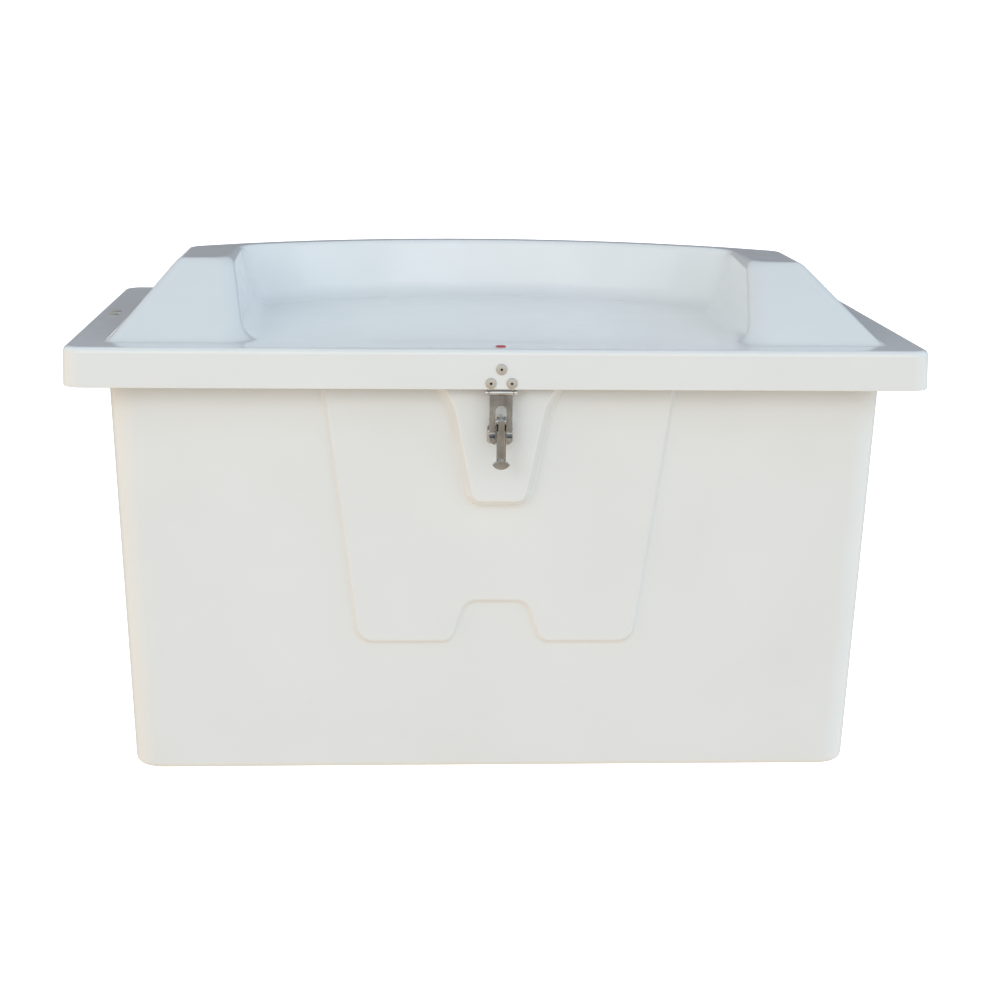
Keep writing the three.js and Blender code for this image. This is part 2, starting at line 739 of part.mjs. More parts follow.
// ---- lid stay, drawn for the right-hand end ----
function stayBracket() {
  const high = LID.top - WALL - GAP;
  const low = high - BRACKET.sheet;
  const halfEar = BRACKET.sheet / 2;
  const corners = [
    [BRACKET.earX - halfEar, BRACKET.frontY, 0],
    [BRACKET.outerX, BRACKET.frontY, 6, 2],
    [BRACKET.outerX, BRACKET.rearY, 6, 2],
    [BRACKET.earX - halfEar, BRACKET.rearY, 0],
  ];
  const points = outline(corners);
  const plate = loft([ring(points, low), ring(points, high)]);
  const ear = slabX(
    stadium([STAY.pivotY, high], pivotPoint, BRACKET.earHalf, 8),
    BRACKET.earX - halfEar,
    BRACKET.earX + halfEar,
  );
  const above = box(BRACKET.earX - 5, STAY.pivotY - 30, high, BRACKET.earX + 5, STAY.pivotY + 30, high + 30);
  const holes = BRACKET.rivetYs.map((y) => holeFor(MARGIN_RIVET, [BRACKET.rivetX, y, high], [0, 0, 1]));
  const pivotHole = bore(PIVOT.shank + RIVET_CLEARANCE, [BRACKET.earX, ...pivotPoint], [1, 0, 0], 12);
  return cut(join(plate, ear), above, pivotHole, ...holes);
}

function stayRivet() {
  const far = BRACKET.earX + BRACKET.sheet / 2 + GAP;
  const length = far - (stayFace - GAP);
  return turned(
    [
      [0, -length - PIVOT.height],
      [PIVOT.head, -length - PIVOT.height],
      [PIVOT.head, -length],
      [PIVOT.shank, -length],
      [PIVOT.shank, 0],
      [PIVOT.head, 0],
      [PIVOT.head * 0.8, PIVOT.height],
      [0, PIVOT.height],
    ],
    [stayFace - GAP, ...pivotPoint],
    [-1, 0, 0],
  );
}

function stayBar() {
  const margin = 1;
  const x0 = stayFace;
  const x1 = stayFace + STAY.thickness;
  const blank = slabX(stadium(alongStay(0), alongStay(openSpan + 2), STAY.width / 2), x0, x1);
  const travel = stadium(alongStay(closedSpan - margin), alongStay(openSpan + margin), STAY.slotHalf);
  const slot = slabX(travel, x0 - 1, x1 + 1);
  return cut(blank, slot, bore(PIVOT.shank + RIVET_CLEARANCE, [STAY.x, ...pivotPoint], [1, 0, 0], 12));
}

function stayBolt() {
  const boltHead = tubX(STAY.boltZ) + 3 * GAP;
  const length = boltHead - (stayFace - NUT.height - 3 * GAP);
  return turned(
    [
      [0, -length],
      [STAY.boltRadius, -length],
      [STAY.boltRadius, 0],
      [9, 0],
      [8.4, 1.8],
      [5, 3.2],
      [0, 3.4],
    ],
    [boltHead, ...boltPoint],
    [1, 0, 0],
  );
}

function collar(radius, x0, x1, sides) {
  const sleeve = bar(radius, [x0, ...boltPoint], [x1, ...boltPoint], sides);
  return cut(sleeve, bore(STAY.boltRadius + RIVET_CLEARANCE, [x0, ...boltPoint], [1, 0, 0], 80));
}

// The tub's wall leans, so the spacer stops a little short of it.
const staySpacer = () =>
  collar(SPACER_RADIUS, stayFace + STAY.thickness + GAP, tubX(STAY.boltZ) - WALL - 0.7, 12);
const stayNut = () => collar(NUT.radius, stayFace - NUT.height - GAP, stayFace - GAP, 6);

function makeBadge() {
  const { y, radius, height } = BADGE;
  return turned(
    [[0, 0], [radius, 0], [radius, height * 0.5], [radius * 0.7, height * 0.9], [0, height]],
    [0, y, LID.top + GAP],
    [0, 0, 1],
    16,
  );
}

// ---- scene graph ----
function piece(name, finish, body) {
  const [color, roughness, metalness] = COLOURS[finish];
  const mesh = new THREE.Mesh(
    geometryOf(body).toNonIndexed(),
    new THREE.MeshStandardMaterial({ color, roughness, metalness }),
  );
  mesh.geometry.computeVertexNormals();
  mesh.name = name;
  return mesh;
}

const group = new THREE.Group();

group.add(
  piece("tub", "gelcoat", makeTub()),
  piece("rim_gasket", "gasket", makeGasket()),
  piece("lid", "gelcoat", makeLid()),
  piece("badge", "badge", makeBadge()),
  piece("hinge_leaf_tub", "stainless", hingeLeaf(-1)),
  piece("hinge_leaf_lid", "stainless", hingeLeaf(1)),
  piece("hinge_pin", "stainless", hingePin()),
  piece("hasp_plate", "stainless", haspPlate()),
  piece("hasp_pin", "stainless", haspBar(HASP.pinRadius, -HASP.halfX + 0.5, HASP.halfX - 0.5, 10)),
  piece("hasp_leaf", "stainless", haspLeaf()),
  piece("staple", "stainless", makeStaple()),
  piece("latch_lever", "stainless", makeLever()),
  piece("lever_pin", "stainless", bar(HASP.pinRadius, [-7, LEVER.y, LEVER.z], [7, LEVER.y, LEVER.z], 10)),
);

hingeRivetXs.forEach((x, i) => {
  const at = (direction) => [x, hingeFace, HINGE.z + direction * HINGE.rivetDrop];
  group.add(
    piece(`hinge_rivet_tub_${i + 1}`, "stainless", rivet(HINGE_RIVET, at(-1), [0, 1, 0], 8)),
    piece(`hinge_rivet_lid_${i + 1}`, "stainless", rivet(HINGE_RIVET, at(1), [0, 1, 0], 8)),
  );
});

SKIRT_RIVETS.forEach(([x, z], i) => {
  const at = [x, -LID.halfY, z];
  group.add(piece(`hasp_rivet_${i + 1}`, "aluminium", rivet(SKIRT_RIVET, at, [0, -1, 0], 14)));
});

stapleRivetXs.forEach((x, i) => {
  const at = [x, LATCH_PAD.face - GAP - STAPLE.plate, STAPLE.rivetZ];
  group.add(piece(`staple_rivet_${i + 1}`, "stainless", rivet(STAPLE_RIVET, at, [0, -1, 0])));
});

const stay = new THREE.Group();
stay.scale.x = -1;
stay.add(
  piece("stay_bracket", "stainless", stayBracket()),
  piece("stay_rivet", "stainless", stayRivet()),
  piece("stay_bar", "stainless", stayBar()),
  piece("stay_bolt", "stainless", stayBolt()),
  piece("stay_spacer", "stainless", staySpacer()),
  piece("stay_nut", "stainless", stayNut()),
);
BRACKET.rivetYs.forEach((y, i) => {
  const at = [BRACKET.rivetX, y, LID.top];
  stay.add(piece(`margin_rivet_${i + 1}`, "aluminium", rivet(MARGIN_RIVET, at, [0, 0, 1], 12)));
});
group.add(stay);

export default group;
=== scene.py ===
"""Fibreglass dock box with a seat lid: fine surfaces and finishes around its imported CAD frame.

Shapes are worked out in millimetres, in the frame of the part (+Z up, front towards -Y), and scaled to metres
when an object is made. Flat outlines are lists of complex numbers, anticlockwise.
"""
import cmath
import json
import math

import bmesh
import bpy
from mathutils import Matrix, Vector
from mathutils.geometry import tessellate_polygon


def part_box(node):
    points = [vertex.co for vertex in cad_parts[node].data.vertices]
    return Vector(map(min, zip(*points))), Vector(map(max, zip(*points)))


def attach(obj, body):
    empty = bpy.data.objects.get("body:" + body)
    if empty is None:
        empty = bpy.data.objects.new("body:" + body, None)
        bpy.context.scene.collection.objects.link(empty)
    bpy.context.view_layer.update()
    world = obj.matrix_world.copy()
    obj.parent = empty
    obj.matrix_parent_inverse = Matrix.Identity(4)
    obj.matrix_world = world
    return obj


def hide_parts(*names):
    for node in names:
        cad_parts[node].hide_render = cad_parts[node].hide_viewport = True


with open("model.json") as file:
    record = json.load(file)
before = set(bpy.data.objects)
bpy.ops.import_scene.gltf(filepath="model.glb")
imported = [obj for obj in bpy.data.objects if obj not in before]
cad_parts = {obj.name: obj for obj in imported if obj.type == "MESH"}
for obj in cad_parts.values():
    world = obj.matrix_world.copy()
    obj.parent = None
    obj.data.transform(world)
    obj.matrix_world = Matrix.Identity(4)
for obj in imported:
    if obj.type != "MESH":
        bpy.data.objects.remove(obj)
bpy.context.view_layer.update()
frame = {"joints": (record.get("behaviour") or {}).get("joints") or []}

MM = 0.001


def box_mm(node):
    """Lowest and highest corner of a CAD node in millimetres."""
    low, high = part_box(node)
    return low / MM, high / MM


def joint_mm(name):
    """A point on a joint's axis in millimetres."""
    found = next(joint for joint in frame["joints"] if joint["name"] == name)
    return Vector(found["pos_m"]) / MM


# ---- driving dimensions ----
BORDER = 1.5  # flat strip along the bends of the big faces, which keeps their shading flat
EDGE = 1.5  # rounding of the moulded edges of rim and skirt
WALL = 5  # fibreglass thickness
GAP = 0.3  # between pieces that touch
SHEET = 2  # of hinge and hasp
TUB_LOW, TUB_HIGH = box_mm("tub")
LID_LOW, LID_HIGH = box_mm("lid")

TUB_BASE = (512, 262)  # half width and half depth of the base
TUB_TOP = (532, 279)  # the same at the lid's lower edge
TUB_CORNER = 40  # radius of the upright corners
TUB_FOOT = 10  # radius of the bend around the base
TUB_HEIGHT = 600
RIM = (TUB_HIGH.x, 300)  # half width and half depth
RIM_CORNER = 46

LID = (LID_HIGH.x, -LID_LOW.y)  # half width and half depth
LID_BOTTOM = LID_LOW.z
LID_TOP = 615  # the flat margin, with the raised U above it
LID_CORNER = 28
LID_EDGE = 8  # rounding between skirt and margin
SKIRT_DRAFT = 1.5  # how far each end of the skirt leans in towards its top

# The raised U of back and arms, as an outer and an inner outline at its foot and at its crest.
CREST_TOP = LID_HIGH.z
CREST_ROUND = 6
CREST_CORNER_ROUND = 10  # more at the arms' inner front corners, fading over the reach
CREST_CORNER_REACH = 80
FOOT = {
    "outer": {"x": 529, "back": 278, "arc": 2500, "corner": 70},
    "inner": {"x": 347, "back": 217, "arc": 570, "corner": 60},
    "front": -275,
    "outer_edge": 10,
    "inner_edge": 34,
}
CREST = {
    "outer": {"x": 453, "back": 257, "arc": 731, "corner": 34},
    "inner": {"x": 376, "back": 226, "arc": 700, "corner": 58},
    "front": -70,
    "outer_edge": 10,
    "inner_edge": 30,
}
OUTER_FILLET = 7  # where the U meets the lid's margin
PAN_FILLET = 22  # where it meets the seat pan
PAN_RISE = 5

# Raised panels on the front: how far out, how wide their slopes are and how round the bends are.
PANEL_PROUD = 8
PANEL_SLOPE = 7
PANEL_ROUND = 2.5
PAD_FACE = 307
PAD_SLOPE = 12
PAD_ROUND = 3.5
LEDGE = {"half_x": 478, "top": 551, "bottom": 506, "foot": 452, "corner": 4, "round": 3}

HINGE = joint_mm("lid_hinge")
HINGE_KNUCKLES = 18
KNUCKLE_LENGTH = 50
HASP = joint_mm("hasp_hinge")
HASP_HALF_X = 15.5
HASP_SLOT = 7.5  # half width
HASP_SLOT_TOP = 539
HASP_LIP = 9  # how far the leaf's lower end is bent out
LEVER = joint_mm("lever_pivot")
STAY_PIVOT = joint_mm("stay_pivot")


# ---- outlines ----
def rounded(corners):
    """Points of a closed outline through corners (x, y, radius, steps); a radius of 0 keeps the corner."""
    points = []
    for i, (x, y, radius, steps) in enumerate(corners):
        here = complex(x, y)
        if not radius:
            points.append(here)
            continue
        back = complex(*corners[i - 1][:2]) - here
        on = complex(*corners[(i + 1) % len(corners)][:2]) - here
        back /= abs(back)
        on /= abs(on)
        half = abs(cmath.phase(on / back)) / 2
        centre = here + (back + on) / abs(back + on) * radius / math.sin(half)
        start = here + back * radius / math.tan(half) - centre
        end = here + on * radius / math.tan(half) - centre
        points += [centre + start * (end / start) ** (s / steps) for s in range(steps + 1)]
    return points


def outward(points, i):
    """Unit normal of an outline at one point, and how far a mitred corner reaches along it."""
    before = points[i] - points[i - 1]
    after = points[(i + 1) % len(points)] - points[i]
    normal = -1j * (before / abs(before) + after / abs(after))
    normal /= abs(normal)
    return normal, max(0.5, (normal * (1j * after.conjugate() / abs(after))).real)


def grown(points, distance):
    """The outline moved outwards by a distance."""
    normals = (outward(points, i) for i in range(len(points)))
    return [p + normal * distance / reach for p, (normal, reach) in zip(points, normals)]


def rectangle(half_x, half_y, radius, steps=10):
    """A rounded rectangle about the origin, from its front right corner on."""
    signs = [(1, -1), (1, 1), (-1, 1), (-1, -1)]
    return rounded([(sx * half_x, sy * half_y, radius, steps) for sx, sy in signs])


def oblong(x0, x1, y0, y1, radius=0, steps=0):
    """A rectangle between two corners, its own corners rounded."""
    return rounded([(x, y, radius, steps) for x, y in ((x0, y0), (x1, y0), (x1, y1), (x0, y1))])


def circle(centre, radius, sides):
    """A full circle about a point (x, y)."""
    return [complex(*centre) + cmath.rect(radius, 2 * math.pi * s / sides) for s in range(sides)]


def stadium(a, b, radius, steps=12):
    """An outline with round ends about two points."""
    turn = (b - a) / abs(b - a)
    arc = [cmath.rect(radius, math.pi * (s / steps - 0.5)) for s in range(steps + 1)]
    return [b + turn * p for p in arc] + [a - turn * p for p in arc]


# ---- mesh building ----
class Shell:
    """A mesh grown from closed rings of points, which its strips and caps share."""

    def __init__(self):
        self.points = []
        self.faces = []

    def ring(self, points):
        """The numbers of new points."""
        first = len(self.points)
        self.points += points
        return list(range(first, len(self.points)))

    def loft(self, rings, gaps=()):
        """Strips between rings. A side whose number is in gaps is left for a cap."""
        for low, high in zip(rings, rings[1:]):
            for i in range(len(low)):
                if i not in gaps:
                    j = (i + 1) % len(low)
                    self.faces.append((low[i], low[j], high[j], high[i]))

    def inset(self, loop, distance):
        """A ring at a distance inside a flat loop, in its plane, joined to it."""
        corners = [self.points[i] for i in loop]
        following = corners[1:] + corners[:1]
        up = sum((a.cross(b) for a, b in zip(corners, following)), Vector()).normalized()
        ring = []
        for before, here, after in zip(corners[-1:] + corners, corners, following):
            on = (after - here).normalized()
            across = up.cross((here - before).normalized() + on).normalized()
            ring.append(here + across * distance / max(0.4, across.dot(up.cross(on))))
        made = self.ring(ring)
        self.loft([loop, made])
        return made

    def cap(self, loop, holes=(), border=0.0):
        """A flat face inside one loop and outside others. A border keeps its shading flat beside a bend."""
        if border:
            loop = self.inset(loop, border)
            holes = [self.inset(hole, -border) for hole in holes]
        loops = [loop, *holes]
        order = [i for each in loops for i in each]
        corners = [[self.points[i] for i in each] for each in loops]
        self.faces += [tuple(order[k] for k in face) for face in tessellate_polygon(corners)]

    def solid(self, rings):
        """A closed body through rings, with both ends capped."""
        made = [self.ring(r) for r in rings]
        self.loft(made)
        self.cap(made[0])
        self.cap(made[-1])

    def piece(self, name, body, finish, replaces=(), crease=35):
        """The object, riding on its body, with edges sharper than the crease angle kept sharp."""
        mesh = bpy.data.meshes.new(name)
        mesh.from_pydata([p * MM for p in self.points], [], self.faces)
        bm = bmesh.new()
        bm.from_mesh(mesh)
        bmesh.ops.recalc_face_normals(bm, faces=bm.faces)
        for face in bm.faces:
            face.smooth = True
        for edge in bm.edges:
            edge.smooth = edge.calc_face_angle(0) < math.radians(crease)
        bm.to_mesh(mesh)
        bm.free()
        return dress(bpy.data.objects.new(name, mesh), body, finish, replaces)


def dress(made, body, finish, replaces):
    """Links a new object, gives it its finish and its body, and hides the CAD nodes that it stands for."""
    bpy.context.scene.collection.objects.link(made)
    look, slot = FINISHES[finish]
    made.data.materials.append(look)
    normals = made.modifiers.new("weighted_normals", "WEIGHTED_NORMAL")
    normals.keep_sharp = True
    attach(made, body)
    if replaces:
        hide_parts(*replaces)
    return made


def bend(a, b, c, t):
    """A point on the curve that leaves a towards b and reaches c from b."""
    return a * (1 - t) ** 2 + b * 2 * t * (1 - t) + c * t * t


def bends(a, b, c, steps=6):
    """Rings that round the corner b between rings a and c."""
    return [[bend(p, q, r, s / steps) for p, q, r in zip(a, b, c)] for s in range(steps + 1)]


def flat_ring(points, z):
    """A horizontal ring."""
    return [Vector((p.real, p.imag, z)) for p in points]


def slab(shell, points, place, low, high, edge=0.4, steps=3):
    """A plate of one outline between two depths, its edges rounded. place(point, depth) gives a corner."""
    turns = [math.pi / 2 * s / steps for s in range(steps + 1)]
    levels = [(edge * (math.sin(a) - 1), edge * (1 - math.cos(a))) for a in turns]
    lower = [(grown(points, growth), low + depth) for growth, depth in levels]
    upper = [(grown(points, growth), high - depth) for growth, depth in reversed(levels)]
    shell.solid([[place(p, depth) for p in each] for each, depth in lower + upper])


def facing_y(p, depth):
    """Outline in x and z, depth along y."""
    return Vector((p.real, depth, p.imag))


def facing_x(p, depth):
    """Outline in y and z, depth along x."""
    return Vector((depth, p.real, p.imag))


def facing_z(p, depth):
    """Outline in x and y, depth along z."""
    return Vector((p.real, p.imag, depth))


def turned(shell, profile, at, axis, sides=40):
    """A turned body: profile of (radius, distance along the axis) from a point."""
    along = Vector(axis).normalized()
    across = along.orthogonal().normalized()
    other = along.cross(across)
    rings = []
    for radius, distance in profile:
        centre = Vector(at) + along * distance
        turns = [2 * math.pi * s / sides for s in range(sides)]
        rings.append([centre + (across * math.cos(a) + other * math.sin(a)) * radius for a in turns])
    shell.solid(rings)


def barrel(shell, radius, start, end, edge=0.3):
    """A round bar between two points with eased ends."""
    start, end = Vector(start), Vector(end)
    length = (end - start).length
    profile = [(radius - edge, 0), (radius, edge), (radius, length - edge), (radius - edge, length)]
    turned(shell, profile, start, end - start)


# ---- finishes ----
STEEL_TINT = (1.03, 1.0, 0.96)


def material(name):
    """A new node material with its tree, its surface shader and its object coordinates."""
    made = bpy.data.materials.new(name)
    made.use_nodes = True
    tree = made.node_tree
    where = tree.nodes.new("ShaderNodeTexCoord").outputs["Object"]
    return made, tree, tree.nodes["Principled BSDF"], where


def noise(tree, where, scale, detail=3.0, stretch=(1, 1, 1)):
    """Noise over object coordinates, drawn out along an axis by a small stretch."""
    mapping = tree.nodes.new("ShaderNodeMapping")
    mapping.inputs["Scale"].default_value = stretch
    texture = tree.nodes.new("ShaderNodeTexNoise")
    texture.inputs["Scale"].default_value = scale
    texture.inputs["Detail"].default_value = detail
    tree.links.new(where, mapping.inputs["Vector"])
    tree.links.new(mapping.outputs["Vector"], texture.inputs["Vector"])
    return texture.outputs["Fac"]


def spread(tree, value, low, high):
    """A noise value spread over a range."""
    node = tree.nodes.new("ShaderNodeMapRange")
    node.inputs["From Min"].default_value = 0.3
    node.inputs["From Max"].default_value = 0.7
    node.inputs["To Min"].default_value = low
    node.inputs["To Max"].default_value = high
    tree.links.new(value, node.inputs["Value"])
    return node.outputs["Result"]


def tint(tree, value, dark, light):
    """A colour between two, by a noise value."""
    node = tree.nodes.new("ShaderNodeMix")
    node.data_type = "RGBA"
    node.inputs["A"].default_value = (*dark, 1)
    node.inputs["B"].default_value = (*light, 1)
    tree.links.new(value, node.inputs["Factor"])
    return node.outputs["Result"]


def bump(tree, heights, distance):
    """Bumps from several (value, strength) pairs, chained."""
    normal = None
    for value, strength in heights:
        node = tree.nodes.new("ShaderNodeBump")
        node.inputs["Strength"].default_value = strength
        node.inputs["Distance"].default_value = distance
        tree.links.new(value, node.inputs["Height"])
        if normal:
            tree.links.new(normal, node.inputs["Normal"])
        normal = node.outputs["Normal"]
    return normal


def gelcoat():
    """White gelcoat: glossy, a little wavy, with a faint orange peel and a faint mottle."""
    made, tree, surface, where = material("gelcoat")
    mottle = spread(tree, noise(tree, where, 5), 0, 1)
    peel = noise(tree, where, 420, 2)
    waves = noise(tree, where, 7, 1)
    shader = surface.inputs
    tree.links.new(tint(tree, mottle, (0.80, 0.80, 0.785), (0.83, 0.83, 0.82)), shader["Base Color"])
    tree.links.new(spread(tree, noise(tree, where, 30, 4), 0.09, 0.15), shader["Roughness"])
    tree.links.new(bump(tree, [(waves, 0.05), (peel, 0.003)], 0.004), shader["Normal"])
    shader["IOR"].default_value = 1.5
    shader["Coat Weight"].default_value = 0.25
    shader["Coat Roughness"].default_value = 0.06
    return made


def steel(name, dark, light, rough, grain):
    """Stainless steel between two greys, with a drawn grain, smudges and fine scratches."""
    made, tree, surface, where = material(name)
    streaks = noise(tree, where, 900, 4, grain)
    smudge = noise(tree, where, 60, 4)
    shader = surface.inputs
    dark, light = ([grey * share for share in STEEL_TINT] for grey in (dark, light))
    tree.links.new(tint(tree, spread(tree, smudge, 0, 1), dark, light), shader["Base Color"])
    tree.links.new(spread(tree, streaks, *rough), shader["Roughness"])
    tree.links.new(bump(tree, [(streaks, 0.12), (smudge, 0.06)], 0.0006), shader["Normal"])
    shader["Metallic"].default_value = 1
    return made


def aluminium():
    """Mill-finish aluminium, dull and slightly pitted."""
    made, tree, surface, where = material("aluminium")
    pits = noise(tree, where, 1400, 5)
    shader = surface.inputs
    tree.links.new(tint(tree, pits, (0.46, 0.42, 0.37), (0.60, 0.56, 0.50)), shader["Base Color"])
    tree.links.new(spread(tree, pits, 0.45, 0.6), shader["Roughness"])
    tree.links.new(bump(tree, [(pits, 0.15)], 0.0004), shader["Normal"])
    shader["Metallic"].default_value = 0.6
    return made


def foam():
    """Closed-cell seal, matte with small cells."""
    made, tree, surface, where = material("seal_foam")
    cells = noise(tree, where, 700, 6)
    shader = surface.inputs
    tree.links.new(tint(tree, cells, (0.035, 0.035, 0.037), (0.075, 0.075, 0.08)), shader["Base Color"])
    tree.links.new(spread(tree, cells, 0.75, 0.95), shader["Roughness"])
    tree.links.new(bump(tree, [(cells, 0.4)], 0.0005), shader["Normal"])
    return made


def enamel():
    """Red enamel."""
    made, tree, surface, where = material("red_enamel")
    flow = noise(tree, where, 300, 2)
    shader = surface.inputs
    tree.links.new(tint(tree, flow, (0.50, 0.012, 0.02), (0.62, 0.03, 0.035)), shader["Base Color"])
    tree.links.new(spread(tree, flow, 0.2, 0.32), shader["Roughness"])
    shader["Coat Weight"].default_value = 0.6
    return made


FINISHES = {
    "gelcoat": (gelcoat(), "gelcoat"),
    "bright_steel": (steel("bright_steel", 0.50, 0.68, (0.12, 0.28), (1, 1, 0.08)), "stainless"),
    "cast_steel": (steel("cast_steel", 0.28, 0.42, (0.10, 0.24), (1, 1, 0.3)), "stainless"),
    "worn_steel": (steel("worn_steel", 0.26, 0.42, (0.18, 0.34), (1, 1, 0.08)), "stainless"),
    "satin_steel": (steel("satin_steel", 0.47, 0.59, (0.25, 0.42), (0.06, 1, 1)), "stainless"),
    # Near black: the broken stems carry painted shade of the hole in each rivet's head.
    "stem": (steel("rivet_stem_painted_shade", 0.02, 0.05, (0.5, 0.7), (1, 1, 1)), "stainless"),
    "aluminium": (aluminium(), "aluminium"),
    "seal": (foam(), "gasket"),
    "enamel": (enamel(), "badge"),
}


# ---- tub ----
def tub_half(z):
    """Half width and half depth of the drafted wall at a height."""
    share = z / LID_BOTTOM
    return [base + (top - base) * share for base, top in zip(TUB_BASE, TUB_TOP)]


def tub_outline(z, inset=0.0):
    """The wall's outline at a height, or one inside it."""
    half_x, half_y = tub_half(z)
    return rectangle(half_x - inset, half_y - inset, TUB_CORNER - min(inset, WALL))


def tub_ring(z, inset=0.0):
    """The same outline as a ring."""
    return flat_ring(tub_outline(z, inset), z)


def tub_foot(inset, steps=8):
    """Rings of the rounded foot, from the flat base up to the wall."""
    radius = TUB_FOOT - inset
    turns = [math.pi / 2 * s / steps for s in range(steps + 1)]
    return [tub_ring(inset + radius * (1 - math.cos(a)), inset + radius * (1 - math.sin(a))) for a in turns]


def relief(shell, low, high, ground, face, round_by):
    """Rings from the loop low on its ground to the loop high on its face, with both bends rounded.

    ground(p) and face(p) give the depth of a point. Returns the first and the last ring.
    """
    start = [facing_y(p, ground(p)) for p in grown(low, round_by)]
    foot = [facing_y(p, ground(p)) for p in low]
    crown = [facing_y(p, face(p)) for p in high]
    end = [facing_y(p, face(p)) for p in grown(high, -round_by)]
    share = round_by / max((c - f).length for f, c in zip(foot, crown))
    above_foot = [f.lerp(c, share) for f, c in zip(foot, crown)]
    below_crown = [f.lerp(c, 1 - share) for f, c in zip(foot, crown)]
    rings = bends(start, foot, above_foot, 5) + bends(below_crown, crown, end, 5)
    made = [shell.ring(r) for r in rings]
    shell.loft(made)
    return made[0], made[-1]


def panel_outline():
    """The broad panel in x and z: drafted sides up to the rim, a notch in the lower edge."""
    half = [(63, 191, 16, 8), (193, 191, 24, 10), (243.9, 584, 0, 0)]
    left = [(-x, z, radius, steps) for x, z, radius, steps in reversed(half)]
    return rounded([*half, *left, (-42, 251, 20, 8), (42, 251, 20, 8)])


def pad_outline():
    """The latch pad in x and z: narrow at its foot, flaring out below the lid."""
    half = [(38.5, 396, 18, 10), (66.5, 530, 60, 6), (85, 565, 0, 0)]
    left = [(-x, z, radius, steps) for x, z, radius, steps in reversed(half)]
    return rounded([*half, *left])


def front_wall(shell, corners, inset):
    """The tub's front between the corner rings, with the broad panel and the latch pad on it."""
    def wall(p):
        return inset - tub_half(p.imag)[1]

    def panel(p):
        return wall(p) - PANEL_PROUD

    def pad(_):
        return inset - PAD_FACE

    outer, inner = (grown(panel_outline(), side * PANEL_SLOPE / 2 - inset) for side in (1, -1))
    foot, face = relief(shell, outer, inner, wall, panel, PANEL_ROUND)
    shell.cap(corners, [foot], BORDER)
    outer, inner = (grown(pad_outline(), side * PAD_SLOPE / 2 - inset) for side in (1, -1))
    foot, top = relief(shell, outer, inner, panel, pad, PAD_ROUND)
    shell.cap(face, [foot], BORDER)
    shell.cap(top, border=BORDER)


def rear_wall(shell, corners, inset):
    """The tub's back with the ledge that carries the hinge."""
    def wall(p):
        return tub_half(p.imag)[1] - inset

    def ledge(_):
        return LID[1] - inset

    def loop(bottom):
        half_x = LEDGE["half_x"] - inset
        corners = [(half_x, bottom), (half_x, LEDGE["top"] - inset)]
        corners += [(-x, z) for x, z in reversed(corners)]
        return rounded([(x, z, LEDGE["corner"], 3) for x, z in corners])

    low, high = loop(LEDGE["foot"] + inset), loop(LEDGE["bottom"] + inset)
    foot, top = relief(shell, low, high, wall, ledge, LEDGE["round"])
    shell.cap(corners, [foot], BORDER)
    shell.cap(top, border=BORDER)


def make_tub():
    """The tub, outside and inside, with its front panels, hinge ledge and rim."""
    shell = Shell()
    steps = len(tub_outline(0)) // 4
    front, rear = 4 * steps - 1, 2 * steps - 1
    top = TUB_HEIGHT
    under = top - WALL
    shoulder = under - 1  # where the walls end and the rim's bend begins

    def walls(low, high, inset):
        """The sides and corners as strips, the front and the back with what stands out of them."""
        shell.loft([low, high], gaps=(front, rear))
        front_wall(shell, [low[front], low[0], high[0], high[front]], inset)
        rear_wall(shell, [low[rear], low[rear + 1], high[rear + 1], high[rear]], inset)

    outer_foot = [shell.ring(r) for r in tub_foot(0)]
    shell.loft(outer_foot)
    shell.cap(outer_foot[0])
    rim = rectangle(*RIM, RIM_CORNER)
    neck = tub_ring(under)
    shelf = flat_ring(rim, under)
    bend_end = [p.lerp(q, 0.1) for p, q in zip(neck, shelf)]  # a tenth of the way to the rim's edge
    lip = [
        *bends(tub_ring(shoulder), neck, bend_end),
        *bends(flat_ring(grown(rim, -EDGE), under), shelf, flat_ring(rim, under + EDGE), 3),
        *bends(flat_ring(rim, top - EDGE), flat_ring(rim, top), flat_ring(grown(rim, -EDGE), top), 3),
        *bends(tub_ring(top, WALL - EDGE), tub_ring(top, WALL), tub_ring(top - EDGE, WALL), 3),
    ]
    made = [shell.ring(r) for r in lip]
    walls(outer_foot[-1], made[0], 0)
    shell.loft(made)
    inner_top = shell.ring(tub_ring(shoulder, WALL))
    shell.loft([made[-1], inner_top])
    inner_foot = [shell.ring(r) for r in tub_foot(WALL)]
    walls(inner_foot[-1], inner_top, WALL)
    shell.loft(inner_foot)
    shell.cap(inner_foot[0])
    shell.piece("tub_shell", "tub", "gelcoat", ["tub"])


def make_gasket():
    """The seal on the rim, oval in section."""
    low, high = box_mm("rim_gasket")
    outer = rectangle(high.x, high.y, TUB_CORNER + 2)
    middle = (low.z + high.z) / 2
    half_width, half_height, sides = 4.5, (high.z - low.z) / 2, 16
    shell = Shell()
    rings = []
    for turn in (2 * math.pi * s / sides for s in range(sides)):
        inset = half_width * (1 - math.cos(turn))
        rings.append(shell.ring(flat_ring(grown(outer, -inset), middle + half_height * math.sin(turn))))
    shell.loft([*rings, rings[0]])
    shell.piece("rim_seal", "tub", "seal", ["rim_gasket"])


# ---- lid ----
def arc_y(side, x):
    """Depth of a curved side of the U at a width."""
    return side["back"] - side["arc"] + math.sqrt(side["arc"] ** 2 - x * x)


def back_arc(side, direction, steps=14):
    """Points along a curved side between its corners."""
    reach = 0.84  # share of the half width that the corners leave free
    shares = [direction * reach * (1 - 2 * s / steps) for s in range(steps + 1)]
    return [(side["x"] * k, arc_y(side, side["x"] * k), 0, 0) for k in shares]


